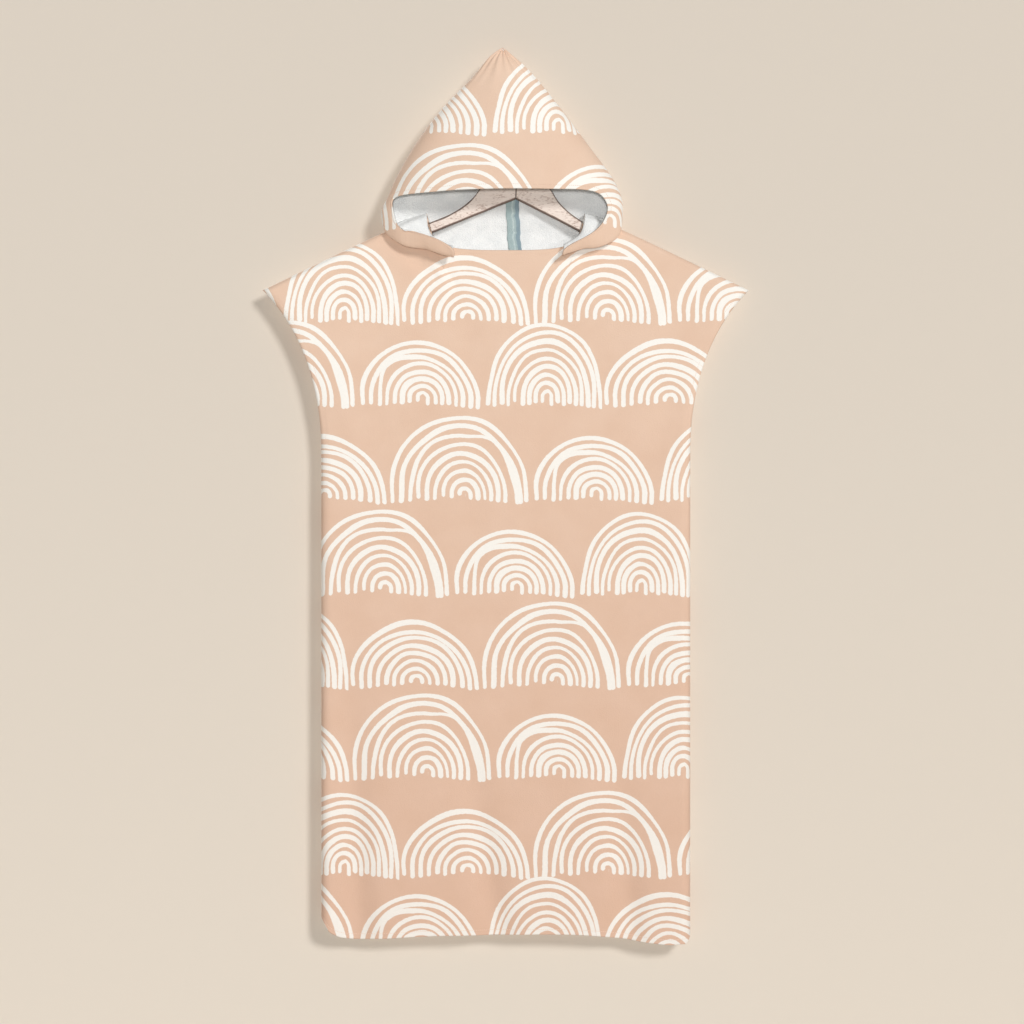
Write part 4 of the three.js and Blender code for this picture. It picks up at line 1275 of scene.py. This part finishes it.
def limewashed_beech():
    material, tree, shader = new_material("limewashed beech", 0.62)
    spot = add(tree, "TexCoord", out="Object")
    place = add(tree, "VectorMath", spot, (1000, 1000, 1000), operation="MULTIPLY")
    split = add(tree, "SeparateXYZ", place).node
    long_way = add(tree, "VectorMath", place, (0.1, 0.6, 0.6), operation="MULTIPLY")
    grain = add(tree, "TexNoise", long_way, None, 1.0, 4.0)
    fleck_place = add(tree, "VectorMath", place, (0.35, 1.0, 1.0), operation="MULTIPLY")
    flecks = add(tree, "TexNoise", fleck_place, None, 0.6, 3.0)
    clouds = add(tree, "TexNoise", place, None, 0.05, 2.0)
    amount = add(tree, "Math", clouds, 0.5, flecks, operation="MULTIPLY_ADD")
    fleck = add(tree, "MapRange", amount, 0.78, 1.02, 0.0, 0.8)
    base = add(tree, "Mix", grain, out=2, data_type="RGBA").node
    base.inputs[6].default_value = linear("E0CDC1")
    base.inputs[7].default_value = linear("F8EBE0")
    colour = add(tree, "Mix", fleck, out=2, data_type="RGBA").node
    tree.links.new(base.outputs[2], colour.inputs[6])
    colour.inputs[7].default_value = linear("9E7C6B")
    uv = tree.nodes.new("ShaderNodeUVMap")
    uv.uv_map = "cut"
    edge = add(tree, "SeparateXYZ", uv.outputs[0]).node
    # stain and painted shade: the colour darkens unevenly within about 3 mm of the top, bottom and end edges
    uneven = add(tree, "Math", clouds, 2.4, -1.2, operation="MULTIPLY_ADD")
    rim = add(tree, "Math", edge.outputs[1], 1000.0, uneven, operation="MULTIPLY_ADD")
    rim = add(tree, "MapRange", rim, 3.4, 2.4, 0.0, 0.9)
    joint = add(tree, "MapRange", edge.outputs[0], 0.0012, 0.0006, 0.0, 0.9)
    stain_and_shade = add(tree, "Math", rim, joint, operation="MAXIMUM")
    return material, tree, shader, colour, stain_and_shade, grain, flecks


def finish_wood():
    material, tree, shader, colour, stain_and_shade, grain, flecks = limewashed_beech()
    # the edge colour is partly a dark stain and partly painted shade in the gap along the arms' edges
    edged = add(tree, "Mix", stain_and_shade, out=2, data_type="RGBA").node
    tree.links.new(colour.outputs[2], edged.inputs[6])
    edged.inputs[7].default_value = linear("6B5449")
    height = add(tree, "Math", flecks, -0.6, grain, operation="MULTIPLY_ADD")
    rough = add(tree, "MapRange", grain, 0.3, 0.7, 0.55, 0.7)
    finish_with(tree, shader, edged.outputs[2], height, 0.25 * MM, rough)
    return material


def drawn_wire():
    material, tree, shader = new_material("drawn steel wire", 0.3, metallic=1.0)
    spot = add(tree, "TexCoord", out="Object")
    fine = add(tree, "VectorMath", spot, (2500, 2500, 300), operation="MULTIPLY")
    brush = add(tree, "TexNoise", fine, None, 1.0, 2.0)
    colour = add(tree, "Mix", brush, out=2, data_type="RGBA").node
    colour.inputs[6].default_value = linear("B3B5B7")
    colour.inputs[7].default_value = linear("CFD0D1")
    rough = add(tree, "MapRange", brush, 0.3, 0.7, 0.26, 0.38)
    finish_with(tree, shader, colour.outputs[2], brush, 0.02 * MM, rough)
    return material


def sewing_thread():
    material, tree, shader = new_material("spun polyester thread", 0.6, 0.1)
    spot = add(tree, "TexCoord", out="Object")
    ply = add(tree, "TexNoise", spot, None, 2500.0, 1.0)
    colour = add(tree, "Mix", ply, out=2, data_type="RGBA").node
    colour.inputs[6].default_value = linear("D9B79E")
    colour.inputs[7].default_value = linear("F0D8C6")
    finish_with(tree, shader, colour.outputs[2], ply, 0.05 * MM)
    return material


thread = sewing_thread()
for stitches in (front_stitches, back_stitches, hood_stitches):
    stitches.data.materials.append(thread)
tape.data.materials.append(twill_tape())
beech = finish_wood()
left_arm.data.materials.append(beech)
right_arm.data.materials.append(beech)
hook.data.materials.append(drawn_wire())

# %% [markdown]
# ## Frame, sheets and stage
#
# Each piece rides on the one body and stands for its CAD node. The garment hangs close in front of
# a beige wall, over a plain pale floor.

# %% Which piece is what
PIECES = [
    (front_body, "front_panel", "printed_terry"), (back_body, "back_panel", "printed_terry"),
    (hood_piece, "hood", "printed_terry"), (tape, "seam_tape", "seam_tape"),
    (left_arm, "hanger_arm_left", "hanger_wood"), (right_arm, "hanger_arm_right", "hanger_wood"),
    (hook, "hanger_hook", "hook_wire"),
]
for piece, cad_node, slot_name in PIECES:
    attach(piece, "root")
    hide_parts(cad_node)
for stitches in (front_stitches, back_stitches, hood_stitches):
    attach(stitches, "root")

# %% Wall and floor
WALL_Y, FLOOR_Z = 38 * MM, -1.75


def stage_sheet(name, corners, colour, see_through_behind=False):
    """One plain painted face; from behind, a wall lets the camera and the light through."""
    obj = new_object(name, np.array(corners, float), [[0, 1, 2, 3]])
    material, tree, shader = new_material(name + " paint", 0.9)
    speckle = add(tree, "TexNoise", add(tree, "TexCoord", out="Object"), None, 3.0, 2.0)
    mixed = add(tree, "Mix", speckle, out=2, data_type="RGBA").node
    mixed.inputs[6].default_value = linear(colour)
    mixed.inputs[7].default_value = linear(colour)
    tree.links.new(mixed.outputs[2], shader.inputs["Base Color"])
    shader.inputs["Specular IOR Level"].default_value = 0.0
    if see_through_behind:
        clear = tree.nodes.new("ShaderNodeBsdfTransparent")
        behind = tree.nodes.new("ShaderNodeNewGeometry")
        either = tree.nodes.new("ShaderNodeMixShader")
        tree.links.new(behind.outputs["Backfacing"], either.inputs[0])
        tree.links.new(shader.outputs[0], either.inputs[1])
        tree.links.new(clear.outputs[0], either.inputs[2])
        tree.links.new(either.outputs[0], tree.nodes["Material Output"].inputs["Surface"])
        obj.visible_shadow = False
    obj.data.materials.append(material)
    return obj


backdrop = stage_sheet(
    "wall", [(-3, WALL_Y, FLOOR_Z), (3, WALL_Y, FLOOR_Z), (3, WALL_Y, 2), (-3, WALL_Y, 2)],
    "D5CBBE", True,
)
ground_sheet = stage_sheet(
    "floor", [(-3, -4, FLOOR_Z), (3, -4, FLOOR_Z), (3, 3, FLOOR_Z), (-3, 3, FLOOR_Z)], "E6E2DC"
)

# %% [markdown]
# ## Light
#
# The photograph is lit softly from the upper right: shadows fall to the left and a little down,
# and they are soft within a centimetre. A sun gives its direction and an angle of some degrees
# gives the softness. A second one from the camera's own side fills what the camera sees, and an
# even sky does the rest. A weaker sun from behind lets the back be seen in other views.

# %% Lights
def sun_light(name, energy, towards, softness):
    """A sun whose light travels along a direction."""
    data = bpy.data.lights.new(name, "SUN")
    data.energy, data.angle = energy, math.radians(softness)
    obj = bpy.data.objects.new(name, data)
    x, y, z = np.array(towards) / np.linalg.norm(towards)
    obj.rotation_euler = (math.acos(-z), 0, math.atan2(-x, y))
    bpy.context.scene.collection.objects.link(obj)
    return obj


KEY_PART, FRONT_PART, SKY_PART = 0.43, 0.36, 0.21
key = sun_light("key", KEY_PART * math.pi / 0.845, (-0.5, 1, -0.42), 11)
front_light = sun_light("front", FRONT_PART * math.pi, (0, 1, 0.02), 4)
back_light = sun_light("back", 1.5, (0.3, -1, -0.5), 20)
sky = bpy.data.worlds.new("sky")
bpy.context.scene.world = sky
sky.use_nodes = True
sky.node_tree.nodes["Background"].inputs["Color"].default_value = (1, 1, 1, 1)
sky.node_tree.nodes["Background"].inputs["Strength"].default_value = SKY_PART
bpy.context.scene.view_settings.view_transform = "Standard"
